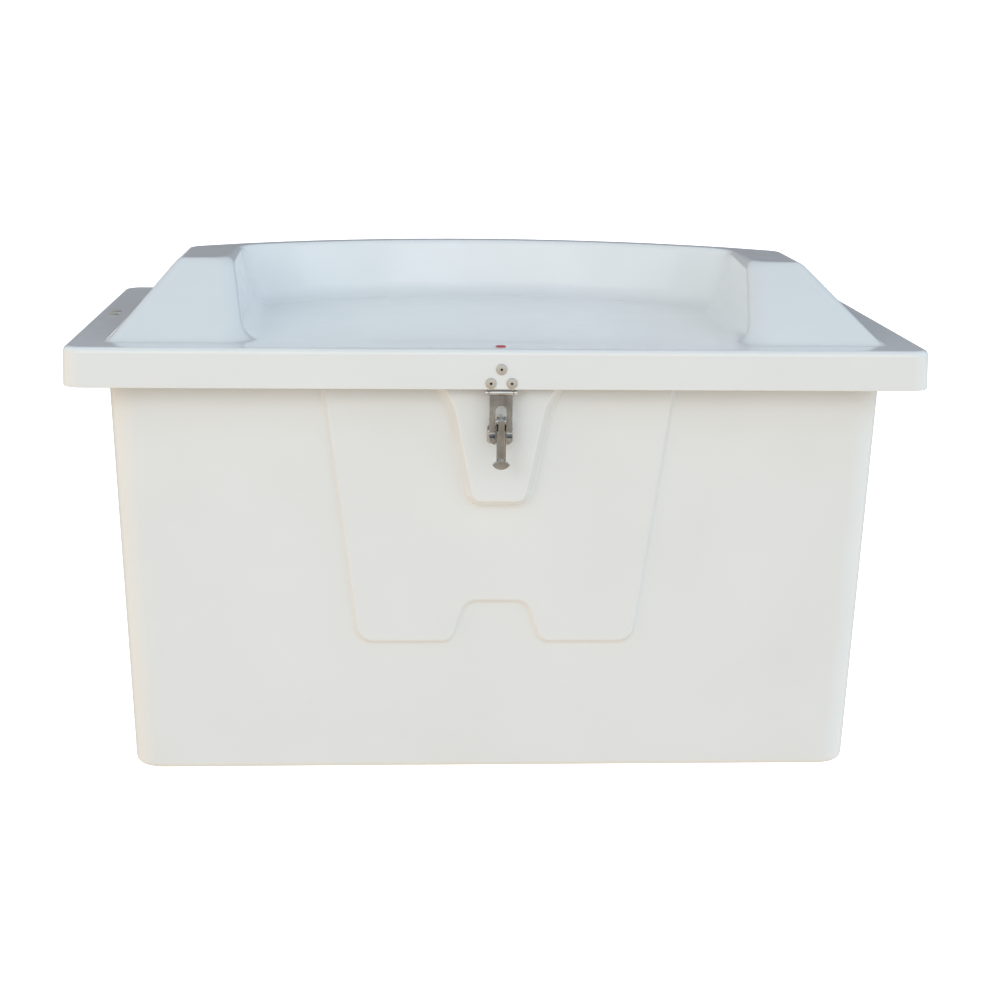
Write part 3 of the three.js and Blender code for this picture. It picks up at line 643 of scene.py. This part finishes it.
def wall_outline(level):
    """The U of back and arms at one level. Every level has the same number of points."""
    outer, inner, front = level["outer"], level["inner"], level["front"]
    right = [
        (inner["x"], front, level["inner_edge"], 12),
        (outer["x"], front, level["outer_edge"], 8),
        (outer["x"], arc_y(outer, outer["x"]), outer["corner"], 12),
    ]
    left = [(-x, y, radius, steps) for x, y, radius, steps in reversed(right)]
    inside = (inner["x"], arc_y(inner, inner["x"]), inner["corner"], 14)
    mirrored = (-inside[0], *inside[1:])
    return rounded([*right, *back_arc(outer, 1), *left, mirrored, *back_arc(inner, -1), inside])


def pan_height(y):
    """The seat pan drains to the front."""
    return LID_TOP + PAN_RISE * max(0, y - FOOT["front"]) / (FOOT["inner"]["back"] - FOOT["front"])


def seat_wall(shell):
    """The raised U on the lid.

    Returns the ring where it meets the pan and the margin, and for each point of it a share from 0 on the
    margin's side to 1 on the pan's side.
    """
    foot, crest = wall_outline(FOOT), wall_outline(CREST)
    rise = CREST_TOP - LID_TOP
    start, corner, above, inward = [], [], [], []
    for i, (low, high) in enumerate(zip(foot, crest)):
        normal, _ = outward(foot, i)
        within = 1 if abs(low.real) < FOOT["inner"]["x"] - 1 and low.imag > 0 else 0
        share = max(within, -normal.real * math.copysign(1, low.real), 0)
        inward.append(share)
        height = share * (pan_height(low.imag) - LID_TOP)
        fillet = OUTER_FILLET + (PAN_FILLET - OUTER_FILLET) * share
        at = low + (high - low) * height / rise
        up = low + (high - low) * (height + fillet) / rise
        away = at + normal * fillet
        base = LID_TOP + share * (pan_height(away.imag) - LID_TOP)
        start.append(Vector((away.real, away.imag, base)))
        corner.append(Vector((at.real, at.imag, LID_TOP + height)))
        above.append(Vector((up.real, up.imag, LID_TOP + height + fillet)))
    shoulder, top = [], []
    for i, (low, high) in enumerate(zip(foot, crest)):
        normal, reach = outward(crest, i)
        near = abs(complex(abs(high.real), high.imag) - complex(CREST["inner"]["x"], CREST["front"]))
        ease = CREST_ROUND + CREST_CORNER_ROUND * max(0, 1 - near / CREST_CORNER_REACH)
        side = high + (low - high) * ease / rise
        inside = high - normal * ease / reach
        shoulder.append(Vector((side.real, side.imag, CREST_TOP - ease)))
        top.append(Vector((inside.real, inside.imag, CREST_TOP)))
    rings = bends(start, corner, above, 8) + bends(shoulder, flat_ring(crest, CREST_TOP), top, 8)
    made = [shell.ring(r) for r in rings]
    shell.loft(made)
    shell.cap(made[-1], border=BORDER)
    return made[0], inward


def seat_recess(shell, ceiling, edge=4):
    """The hollow of the U, seen from below. Returns its mouth."""
    foot, crest = (grown(wall_outline(level), -WALL) for level in (FOOT, CREST))
    roof = CREST_TOP - WALL
    share = edge / (roof - ceiling)
    above_mouth = flat_ring([p + (q - p) * share for p, q in zip(foot, crest)], ceiling + edge)
    below_roof = flat_ring([q + (p - q) * share for p, q in zip(foot, crest)], roof - edge)
    rings = bends(flat_ring(grown(foot, edge), ceiling), flat_ring(foot, ceiling), above_mouth, 3)
    rings += bends(below_roof, flat_ring(crest, roof), flat_ring(grown(crest, -edge), roof), 3)
    made = [shell.ring(r) for r in rings]
    shell.loft(made)
    shell.cap(made[-1])
    return made[0]


def lid_ring(z, inset=0.0):
    """The skirt's outline at a height."""
    draft = SKIRT_DRAFT * (z - LID_BOTTOM) / (LID_TOP - LID_BOTTOM)
    return flat_ring(rectangle(LID[0] - draft - inset, LID[1] - inset, LID_CORNER - inset), z)


def make_lid():
    """The lid from its ceiling down the inside of the skirt, up its outside and over the top."""
    shell = Shell()
    ceiling, bottom, top = LID_TOP - WALL, LID_BOTTOM, LID_TOP
    rings = [
        *bends(lid_ring(ceiling, WALL + 4), lid_ring(ceiling, WALL), lid_ring(ceiling - 4, WALL), 4),
        *bends(lid_ring(bottom + EDGE, WALL), lid_ring(bottom, WALL), lid_ring(bottom, WALL - EDGE), 3),
        *bends(lid_ring(bottom, 2), lid_ring(bottom), lid_ring(bottom + 2), 4),
        *bends(lid_ring(top - LID_EDGE), lid_ring(top), lid_ring(top, LID_EDGE), 9),
    ]
    made = [shell.ring(r) for r in rings]
    shell.loft(made)
    shell.cap(made[0], [seat_recess(shell, ceiling)], BORDER)
    base, inward = seat_wall(shell)
    # The base runs from the right arm's front around the margin to the left arm's front and back by the pan.
    half = len(base) // 2
    margin_start = max(i for i in range(half) if inward[i] > 0.5 and shell.points[base[i]].y < 0)
    pan_start = next(i for i in range(half + 1, len(base)) if inward[i] > 0.5)
    shell.cap(base[pan_start:] + base[:margin_start + 1], border=BORDER)
    shell.cap(made[-1], [base[margin_start:pan_start + 1]], BORDER)
    shell.piece("lid_shell", "lid", "gelcoat", ["lid"])


def make_badge():
    """A plain red button on the lid's front edge."""
    low, high = box_mm("badge")
    centre = (low + high) / 2
    radius, height = (high.x - low.x) / 2, high.z - low.z
    rim = 0.4  # share of the height that stands straight; the rest is domed
    dome = (0.3, 0.6, 0.9, 1.2, 1.45)
    profile = [(radius, 0), (radius, height * rim)]
    profile += [(radius * math.cos(a), height * (rim + (1 - rim) * math.sin(a))) for a in dome]
    shell = Shell()
    turned(shell, profile, (centre.x, centre.y, low.z), (0, 0, 1))
    shell.piece("badge_button", "lid", "enamel", ["badge"])


# ---- fasteners ----
# The dome of a rivet's head: share of its radius and share of its height below the top, from rim to centre.
RIVET_DOME = [(1, 0.85), (1, 0.72), (0.96, 0.55), (0.87, 0.36), (0.74, 0.19), (0.58, 0.07)]
STEM_DEPTH = 0.7  # of the broken stem below the top of a blind rivet's head


def blind_rivet(node, body, finish, direction, shank, dimple=0.0):
    """A domed rivet in the place of its CAD node, its head on the side of the direction."""
    low, high = box_mm(node)
    axis = Vector(direction)
    size = high - low
    tip = (low + high) / 2 + Vector([step * extent / 2 for step, extent in zip(axis, size)])
    radius = size[next(k for k in range(3) if not axis[k])] / 2
    length = abs(size.dot(axis))
    head = radius * 0.29  # its height
    profile = [(shank * 0.6, -length), (shank * 1.6, -length + 0.4), (shank * 1.7, -length + 1.7)]
    profile += [(shank, -length + 1.9), (shank, -head), (radius - 0.3, -head)]
    profile += [(radius * across, -head * down) for across, down in RIVET_DOME]
    if dimple:
        profile += [(dimple + 0.3, -0.05), (dimple, -0.4), (dimple, -head), (0.15, -head - 0.5)]
        # The broken stem is real; its near-black colour is painted shade of the hole it sits in.
        stem = Shell()
        across = dimple - 0.1
        broken = [(across, 0.1 - head), (across, -STEM_DEPTH), (0.4, 0.3 - STEM_DEPTH)]
        turned(stem, broken, tip, axis)
        stem.piece(node + "_stem", body, "stem")
    else:
        profile.append((radius * 0.2, 0))
    shell = Shell()
    turned(shell, profile, tip, axis)
    shell.piece(node + "_fine", body, finish, [node])


def cross_pin(node, body, edge=0.4):
    """A pin along X in the place of its CAD node."""
    low, high = box_mm(node)
    centre = (low + high) / 2
    shell = Shell()
    barrel(shell, (high.z - low.z) / 2, (low.x, centre.y, centre.z), (high.x, centre.y, centre.z), edge)
    shell.piece(node + "_fine", body, "bright_steel", [node])


def make_fasteners():
    """All rivets but the stay's, and the three pins."""
    for i in range(1, 7):
        blind_rivet(f"hinge_rivet_tub_{i}", "tub", "satin_steel", (0, 1, 0), 2.2)
        blind_rivet(f"hinge_rivet_lid_{i}", "lid", "satin_steel", (0, 1, 0), 2.2)
    for i in range(1, 4):
        blind_rivet(f"hasp_rivet_{i}", "lid", "aluminium", (0, -1, 0), 2.4, 1.7)
    for i in range(1, 3):
        blind_rivet(f"staple_rivet_{i}", "tub", "satin_steel", (0, -1, 0), 2.2)
        blind_rivet(f"margin_rivet_{i}", "lid", "aluminium", (0, 0, 1), 2.4, 1.7)
    cross_pin("hinge_pin", "tub")
    cross_pin("hasp_pin", "lid")
    cross_pin("lever_pin", "tub")


# ---- rear hinge ----
def make_hinge_leaf(node, body, direction):
    """One leaf of the piano hinge with every second knuckle. It points up or down from the pin."""
    low, high = box_mm(node)
    gap, step_in = 0.5, 0.4
    radius = high.y - HINGE.y
    back = LID[1] + GAP
    near = HINGE.z + direction * (radius + 0.4)
    z0, z1 = sorted((near, high.z if direction > 0 else low.z))
    shell = Shell()
    slab(shell, oblong(low.x, high.x, z0, z1, 2, 4), facing_y, back, back + SHEET)
    for k in range(0 if direction < 0 else 1, HINGE_KNUCKLES, 2):
        x0 = (k - HINGE_KNUCKLES / 2) * KNUCKLE_LENGTH + gap / 2
        x1 = x0 + KNUCKLE_LENGTH - gap
        barrel(shell, radius, (x0, HINGE.y, HINGE.z), (x1, HINGE.y, HINGE.z), 0.5)
        web = oblong(x0 + step_in, x1 - step_in, *sorted((HINGE.z, near + direction)))
        slab(shell, web, facing_y, back, back + SHEET, 0.2)
    shell.piece(node + "_fine", body, "satin_steel", [node])


# ---- hasp, staple and lever ----
def make_hasp_plate():
    """The plate behind the skirt with the two outer knuckles."""
    high = box_mm("hasp_plate")[1]
    front = WALL + GAP - LID[1]
    shell = Shell()
    lower = [(-high.x, LID_BOTTOM + 0.5, 0, 0), (high.x, LID_BOTTOM + 0.5, 0, 0)]
    upper = [(high.x, high.z, 10, 8), (-high.x, high.z, 10, 8)]
    slab(shell, rounded(lower + upper), facing_y, front, front + SHEET)
    for side in (-1, 1):
        x0, x1 = sorted((side * (HASP_HALF_X + 0.8), side * high.x))
        barrel(shell, 3.3, (x0, HASP.y, HASP.z), (x1, HASP.y, HASP.z), 0.8)
        web = oblong(x0, x1, HASP.z, LID_BOTTOM + 2)
        slab(shell, web, facing_y, front, front + SHEET - 0.1, 0.2)
    shell.piece("hasp_plate_fine", "lid", "bright_steel", ["hasp_plate"])


def bent_sheet(name, outline, path, thickness):
    """A sheet cut to an outline (x, distance down the sheet) and bent along a path of points (y, z)."""
    mesh = bpy.data.meshes.new(name)
    bm = bmesh.new()
    bm.faces.new([bm.verts.new((p.real, p.imag, 0)) for p in outline])
    lengths = [0.0]
    for a, b in zip(path, path[1:]):
        lengths.append(lengths[-1] + abs(b - a))
    for at in lengths[1:-1]:
        everything = bm.verts[:] + bm.edges[:] + bm.faces[:]
        bmesh.ops.bisect_plane(bm, geom=everything, plane_co=(0, at, 0), plane_no=(0, 1, 0), dist=1e-4)
    for vert in bm.verts:
        k = max(i for i in range(len(path) - 1) if lengths[i] <= vert.co.y + 1e-6)
        share = (vert.co.y - lengths[k]) / (lengths[k + 1] - lengths[k])
        at = path[k] + (path[k + 1] - path[k]) * share
        vert.co = Vector((vert.co.x, at.real, at.imag)) * MM
    bmesh.ops.recalc_face_normals(bm, faces=bm.faces)
    for face in bm.faces:
        face.smooth = True
    bm.to_mesh(mesh)
    bm.free()
    made = bpy.data.objects.new(name, mesh)
    solidify = made.modifiers.new("thickness", "SOLIDIFY")
    solidify.thickness = thickness * MM
    solidify.offset = 0
    bevel = made.modifiers.new("edges", "BEVEL")
    bevel.width = 0.35 * MM
    bevel.segments = 3
    bevel.limit_method = "ANGLE"
    bevel.angle_limit = math.radians(50)
    return made


def make_hasp_leaf():
    """The slotted leaf, its lower ends bent outwards and rounded."""
    tip_z = box_mm("hasp_leaf")[0].z
    bend_z, top_z = tip_z + 17, HASP.z - 2
    path = [complex(HASP.y, top_z), complex(HASP.y, bend_z)]
    for turn in (math.pi / 2 * s / 6 for s in range(1, 7)):
        path.append(complex(HASP.y - HASP_LIP * (1 - math.cos(turn)), bend_z - HASP_LIP * math.sin(turn)))
    path.append(complex(HASP.y - HASP_LIP, tip_z))
    length = sum(abs(b - a) for a, b in zip(path, path[1:])) - 0.01
    half = [
        (HASP_HALF_X, 0, 0, 0),
        (HASP_HALF_X, length, 7.6, 8),
        (HASP_SLOT, length, 0, 0),
        (HASP_SLOT, top_z - HASP_SLOT_TOP, 7.4, 8),
    ]
    outline = rounded([*half, *((-x, down, radius, steps) for x, down, radius, steps in reversed(half))])
    leaf = bent_sheet("hasp_leaf_sheet", outline, path, SHEET)
    dress(leaf, "hasp", "worn_steel", ["hasp_leaf"])
    shell = Shell()
    barrel(shell, 3.6, (-HASP_HALF_X, HASP.y, HASP.z), (HASP_HALF_X, HASP.y, HASP.z))
    shell.piece("hasp_leaf_knuckle", "hasp", "bright_steel")


def make_staple():
    """The base plate and the post that stands through the leaf's slot."""
    low, high = box_mm("staple")
    height, thickness, post_half, eye = 25, 2.3, 2.6, 5.5
    back = -PAD_FACE - GAP
    front = back - thickness
    root = front + 1
    shell = Shell()
    slab(shell, oblong(-high.x, high.x, low.z, low.z + height, 4, 6), facing_y, front, back)
    post = stadium(complex(root, LEVER.z), complex(LEVER.y, LEVER.z), eye)
    slab(shell, post, facing_x, -post_half, post_half)
    gusset = [complex(root, low.z + 10), complex(root, LEVER.z), complex(LEVER.y + 6, LEVER.z - eye + 1)]
    slab(shell, gusset, facing_x, 0.2 - post_half, post_half - 0.2, 0.2)
    shell.piece("staple_fine", "tub", "bright_steel", ["staple"])


def make_lever():
    """The latch lever: a fork with a tongue over the post, a straight arm and a lens-shaped thumb pad."""
    half_x, head, tip = 6, 6.5, LEVER.z - 58
    shoulder = LEVER.z - head + 1.5
    shell = Shell()
    for side in (-1, 1):
        x0, x1 = sorted((side * 3, side * half_x))
        slab(shell, circle((LEVER.y, LEVER.z), head, 32), facing_x, x0, x1, 0.5)
    arm = rounded([
        (LEVER.y - 0.8, LEVER.z - 38, 12, 5),
        (LEVER.y - 3.2, tip - 1, 2.5, 5),
        (LEVER.y - 8.8, tip - 1, 2.5, 5),
        (LEVER.y - 6.4, shoulder, 0, 0),
        (LEVER.y + 2.6, shoulder, 0, 0),
    ])
    slab(shell, arm, facing_x, -half_x, half_x, 2.4, 5)
    front, back = LEVER.y - 8.6, LEVER.y - 5.8
    low, high = shoulder - 6, LEVER.z + 3.5
    tongue = rounded([(front, low, 0, 0), (front, high, 1.2, 4), (back, high, 1.2, 4), (back, low, 0, 0)])
    slab(shell, tongue, facing_x, -4.2, 4.2, 1)
    shell.piece("latch_lever_arm", "lever", "cast_steel", ["latch_lever"])

    # The thumb pad's outline is the overlap of two circles, one above the other.
    radius, drop, lean = 14, 7.5, 0.12
    wide = math.acos(drop / radius)
    arc = [cmath.rect(radius, math.pi / 2 + wide * (s / 8 - 1)) - 1j * drop for s in range(17)]

    def tilted(p, depth):
        return Vector((p.real, LEVER.y + depth - lean * p.imag, tip + 1 + p.imag))

    thumb = Shell()
    slab(thumb, [*arc, *(p.conjugate() for p in arc[-2:0:-1])], tilted, -14.6, -8.2, 0.9)
    thumb.piece("latch_lever_thumb", "lever", "cast_steel")


# ---- lid stay ----
def make_stay_bracket(pivot):
    """The bracket under the lid's margin: a flat plate with an ear for the bar."""
    low, high = box_mm("stay_bracket")
    sheet, ear_half, ear_round = 2.5, 13, 12.9
    shell = Shell()
    outer = [(high.x, low.y, 0, 0), (high.x, high.y, 0, 0)]
    plate = rounded([(low.x, low.y, 6, 5), *outer, (low.x, high.y, 6, 5)])
    slab(shell, plate, facing_z, high.z - sheet, high.z)
    top, bottom = high.z - 1, pivot.imag - ear_half
    y0, y1 = pivot.real - ear_half, pivot.real + ear_half
    hanging = [(y0, bottom, ear_round, 10), (y1, bottom, ear_round, 10)]
    ear = rounded([(y0, top, 0, 0), *hanging, (y1, top, 0, 0)])
    slab(shell, ear, facing_x, high.x - sheet, high.x, 0.3)
    shell.piece("stay_bracket_fine", "lid", "satin_steel", ["stay_bracket"])


def make_stay_bar(pivot, bolt):
    """The slotted bar, from its rivet past the bolt in the tub's wall."""
    low, high = box_mm("stay_bar")
    half_width, slot_half, edge = 11, 4.6, 0.4
    along = (bolt - pivot) / abs(bolt - pivot)
    ends = [complex(low.y, low.z), complex(high.y, high.z)]
    span = max(abs((end - pivot) * along.conjugate()) for end in ends)
    end = pivot + along * (span - half_width)
    outer = stadium(pivot, end, half_width)
    slot = stadium(bolt - along, end - along, slot_half)
    eased = (grown(outer, -edge), grown(slot, edge))
    levels = [(*eased, low.x), (outer, slot, low.x + edge), (outer, slot, high.x - edge), (*eased, high.x)]
    shell = Shell()
    outer_rings = [shell.ring([facing_x(p, x) for p in points]) for points, _, x in levels]
    slot_rings = [shell.ring([facing_x(p, x) for p in points]) for _, points, x in levels]
    shell.loft(outer_rings)
    shell.loft(slot_rings)
    shell.cap(outer_rings[0], [slot_rings[0]])
    shell.cap(outer_rings[-1], [slot_rings[-1]])
    shell.piece("stay_bar_fine", "stay", "satin_steel", ["stay_bar"])


def make_stay_fixings():
    """The rivet between bracket and bar, and the shoulder bolt through the tub with its spacer and nut."""
    def fixing(node, body, finish, profile, sides=40, crease=35):
        """A turned piece along x in the place of its CAD node. profile(length, radius) gives its section."""
        low, high = box_mm(node)
        centre = (low + high) / 2
        shell = Shell()
        section = profile(high.x - low.x, max(high.y - low.y, high.z - low.z) / 2)
        turned(shell, section, (low.x, centre.y, centre.z), (1, 0, 0), sides)
        shell.piece(node + "_fine", body, finish, [node], crease)

    def rivet(length, _):
        head = [(5, 0), (6.2, 0.5), (6.5, 1.6)]
        far_head = [(radius, length - x) for radius, x in reversed(head)]
        return [*head, (3.2, 1.6), (3.2, length - 1.6), *far_head]

    def bolt(length, _):
        head = [(2, 0), (5, 0.3), (8.3, 1.6), (9, 2.6), (9, 3.4)]
        return [*head, (4, 3.4), (4, length - 0.5), (3.5, length)]

    def collar(length, radius, bore=4.2, edge=0.5):
        start = [(bore, 0), (radius - edge, 0), (radius, edge)]
        return start + [(r, length - x) for r, x in reversed(start)]

    fixing("stay_rivet", "lid", "bright_steel", rivet)
    fixing("stay_bolt", "tub", "bright_steel", bolt)
    fixing("stay_spacer", "tub", "satin_steel", collar, crease=25)
    fixing("stay_nut", "tub", "satin_steel", collar, 6, 25)


def make_stay():
    """The lid stay at the left: bracket, rivet, slotted bar, bolt, spacer and nut."""
    low, high = box_mm("stay_bolt")
    bolt = (low + high) / 2
    pivot = complex(STAY_PIVOT.y, STAY_PIVOT.z)
    make_stay_bracket(pivot)
    make_stay_bar(pivot, complex(bolt.y, bolt.z))
    make_stay_fixings()


# ---- stage ----
# World radiance by height (-1 down, 1 up) in front and behind, and its tint from left (-1) to right (1).
WORLD_LOW = (0.92, 0.80, 0.67)
WORLD_HIGH = (0.42, 0.47, 0.52)
WORLD_DARK = (0.16, 0.15, 0.17)
WORLD_WHITE = (1, 1, 1)
WORLD_FRONT = [
    (-1, WORLD_LOW),
    (-0.03, (0.56, 0.52, 0.45)),
    (0.02, (0.48, 0.50, 0.52)),
    (0.5, (0.64, 0.73, 0.82)),
    (1, WORLD_HIGH),
]
WORLD_BACK = [
    (-1, WORLD_LOW),
    (-0.06, (0.5, 0.5, 0.5)),
    (-0.04, WORLD_WHITE),
    (0.03, WORLD_WHITE),
    (0.045, WORLD_DARK),
    (0.32, WORLD_DARK),
    (0.5, WORLD_HIGH),
    (1, WORLD_HIGH),
]
WORLD_SIDES = [
    (-1, (1.78, 1.65, 1.5)),
    (-0.4, (1, 0.98, 0.96)),
    (0.4, (0.95, 0.98, 1.0)),
    (1, (1.75, 1.93, 2.1)),
]
WORLD_TURN = (0.55, 0.85)  # where the front's light gives way to the back's
COOL_WHITE = (0.92, 0.98, 1)
WARM_WHITE = (1, 0.97, 0.9)
STUDIO_RADIUS = 40
LIGHT_TARGET = Vector((0, 0, 0.4))
CAMERA_AT = Vector((-0.1473, -2.8755, 1.0082))
CAMERA_YAW, CAMERA_PITCH, CAMERA_ROLL = (math.radians(a) for a in (3.316, -13.21, 0.816))
CAMERA_LENS = 69.56


def make_camera():
    """The camera at the front, a little to the left and above."""
    data = bpy.data.cameras.new("camera")
    data.sensor_width = 36
    data.lens = CAMERA_LENS
    camera = bpy.data.objects.new("camera", data)
    level = Matrix.Rotation(-CAMERA_YAW, 4, "Z") @ Matrix.Rotation(math.pi / 2 + CAMERA_PITCH, 4, "X")
    camera.matrix_world = Matrix.Translation(CAMERA_AT) @ level @ Matrix.Rotation(CAMERA_ROLL, 4, "Z")
    bpy.context.scene.collection.objects.link(camera)
    bpy.context.scene.camera = camera


def stage_piece(name, points, faces):
    """A pale surface that glows a little, as a lit white sweep does. The box doesn't reflect it."""
    mesh = bpy.data.meshes.new(name)
    mesh.from_pydata(points, [], faces)
    made = bpy.data.objects.new(name, mesh)
    bpy.context.scene.collection.objects.link(made)
    finish, tree, surface, where = material(name)
    tone = noise(tree, where, 2, 2)
    shader = surface.inputs
    tree.links.new(tint(tree, tone, (0.80, 0.80, 0.80), (0.82, 0.82, 0.82)), shader["Base Color"])
    shader["Roughness"].default_value = 0.9
    shader["Specular IOR Level"].default_value = 0.1
    shader["Emission Color"].default_value = (1, 1, 1, 1)
    shader["Emission Strength"].default_value = 0.9
    mesh.materials.append(finish)
    made.visible_diffuse = False
    made.visible_glossy = False
    return made


def make_studio():
    """A wide round floor, with a tall wall around it that lets all light through."""
    edge = circle((0, 0), STUDIO_RADIUS, 96)
    count = len(edge)
    stage_piece("floor", flat_ring(edge, 0), [tuple(range(count))])
    rings = flat_ring(edge, 0) + flat_ring(edge, STUDIO_RADIUS)
    sides = [(i, (i + 1) % count, (i + 1) % count + count, i + count) for i in range(count)]
    wall = stage_piece("backdrop", rings, sides)
    wall.visible_shadow = False


def make_world():
    """Studio light: white at the horizon and dark above it behind the box, warm from the left, cool from the
    right."""
    world = bpy.data.worlds.new("studio")
    bpy.context.scene.world = world
    world.use_nodes = True
    tree = world.node_tree
    where = tree.nodes.new("ShaderNodeTexCoord").outputs["Generated"]
    parts = tree.nodes.new("ShaderNodeSeparateXYZ")
    tree.links.new(where, parts.inputs["Vector"])

    def span(value, low, high):
        node = tree.nodes.new("ShaderNodeMapRange")
        node.inputs["From Min"].default_value = low
        node.inputs["From Max"].default_value = high
        tree.links.new(value, node.inputs["Value"])
        return node.outputs["Result"]

    def ramp(value, stops):
        node = tree.nodes.new("ShaderNodeValToRGB")
        tree.links.new(span(value, -1, 1), node.inputs["Fac"])
        elements = node.color_ramp.elements
        while len(elements) < len(stops):
            elements.new(0.5)
        for element, (at, colour) in zip(elements, stops):
            element.position = (at + 1) / 2
            element.color = (*colour, 1)
        return node.outputs["Color"]

    def mix(kind, factor, a, b):
        node = tree.nodes.new("ShaderNodeMix")
        node.data_type = "RGBA"
        node.blend_type = kind
        if isinstance(factor, float):
            node.inputs["Factor"].default_value = factor
        else:
            tree.links.new(factor, node.inputs["Factor"])
        tree.links.new(a, node.inputs["A"])
        tree.links.new(b, node.inputs["B"])
        return node.outputs["Result"]

    ahead = ramp(parts.outputs["Z"], WORLD_FRONT)
    behind = ramp(parts.outputs["Z"], WORLD_BACK)
    side = ramp(parts.outputs["X"], WORLD_SIDES)
    in_front = mix("MULTIPLY", 1.0, ahead, side)
    colour = mix("MIX", span(parts.outputs["Y"], *WORLD_TURN), in_front, behind)
    tree.links.new(colour, tree.nodes["Background"].inputs["Color"])


def area_light(name, at, size, power, colour, diffuse=True, glossy=True):
    """A softbox aimed at the box, which may light it without showing in its gloss, or the reverse."""
    data = bpy.data.lights.new(name, "AREA")
    data.shape = "RECTANGLE"
    data.size, data.size_y = size
    data.energy = power
    data.color = colour
    light = bpy.data.objects.new(name, data)
    light.location = at
    light.rotation_euler = (LIGHT_TARGET - Vector(at)).to_track_quat("-Z", "Y").to_euler()
    light.visible_diffuse = diffuse
    light.visible_glossy = glossy
    bpy.context.scene.collection.objects.link(light)


make_camera()
make_studio()
make_world()
area_light("front_key", (0.2, -4.2, 2.1), (9.0, 2.4), 56, COOL_WHITE)
area_light("left_key", (-2.2, -3.8, 2.0), (1.6, 1.6), 19, COOL_WHITE, glossy=False)
area_light("low_strip", (0, -4.0, 1.1), (10.4, 0.7), 24, WARM_WHITE, diffuse=False)
bpy.context.scene.view_settings.view_transform = "Standard"

make_tub()
make_gasket()
make_lid()
make_badge()
make_fasteners()
make_hinge_leaf("hinge_leaf_tub", "tub", -1)
make_hinge_leaf("hinge_leaf_lid", "lid", 1)
make_hasp_plate()
make_hasp_leaf()
make_staple()
make_lever()
make_stay()
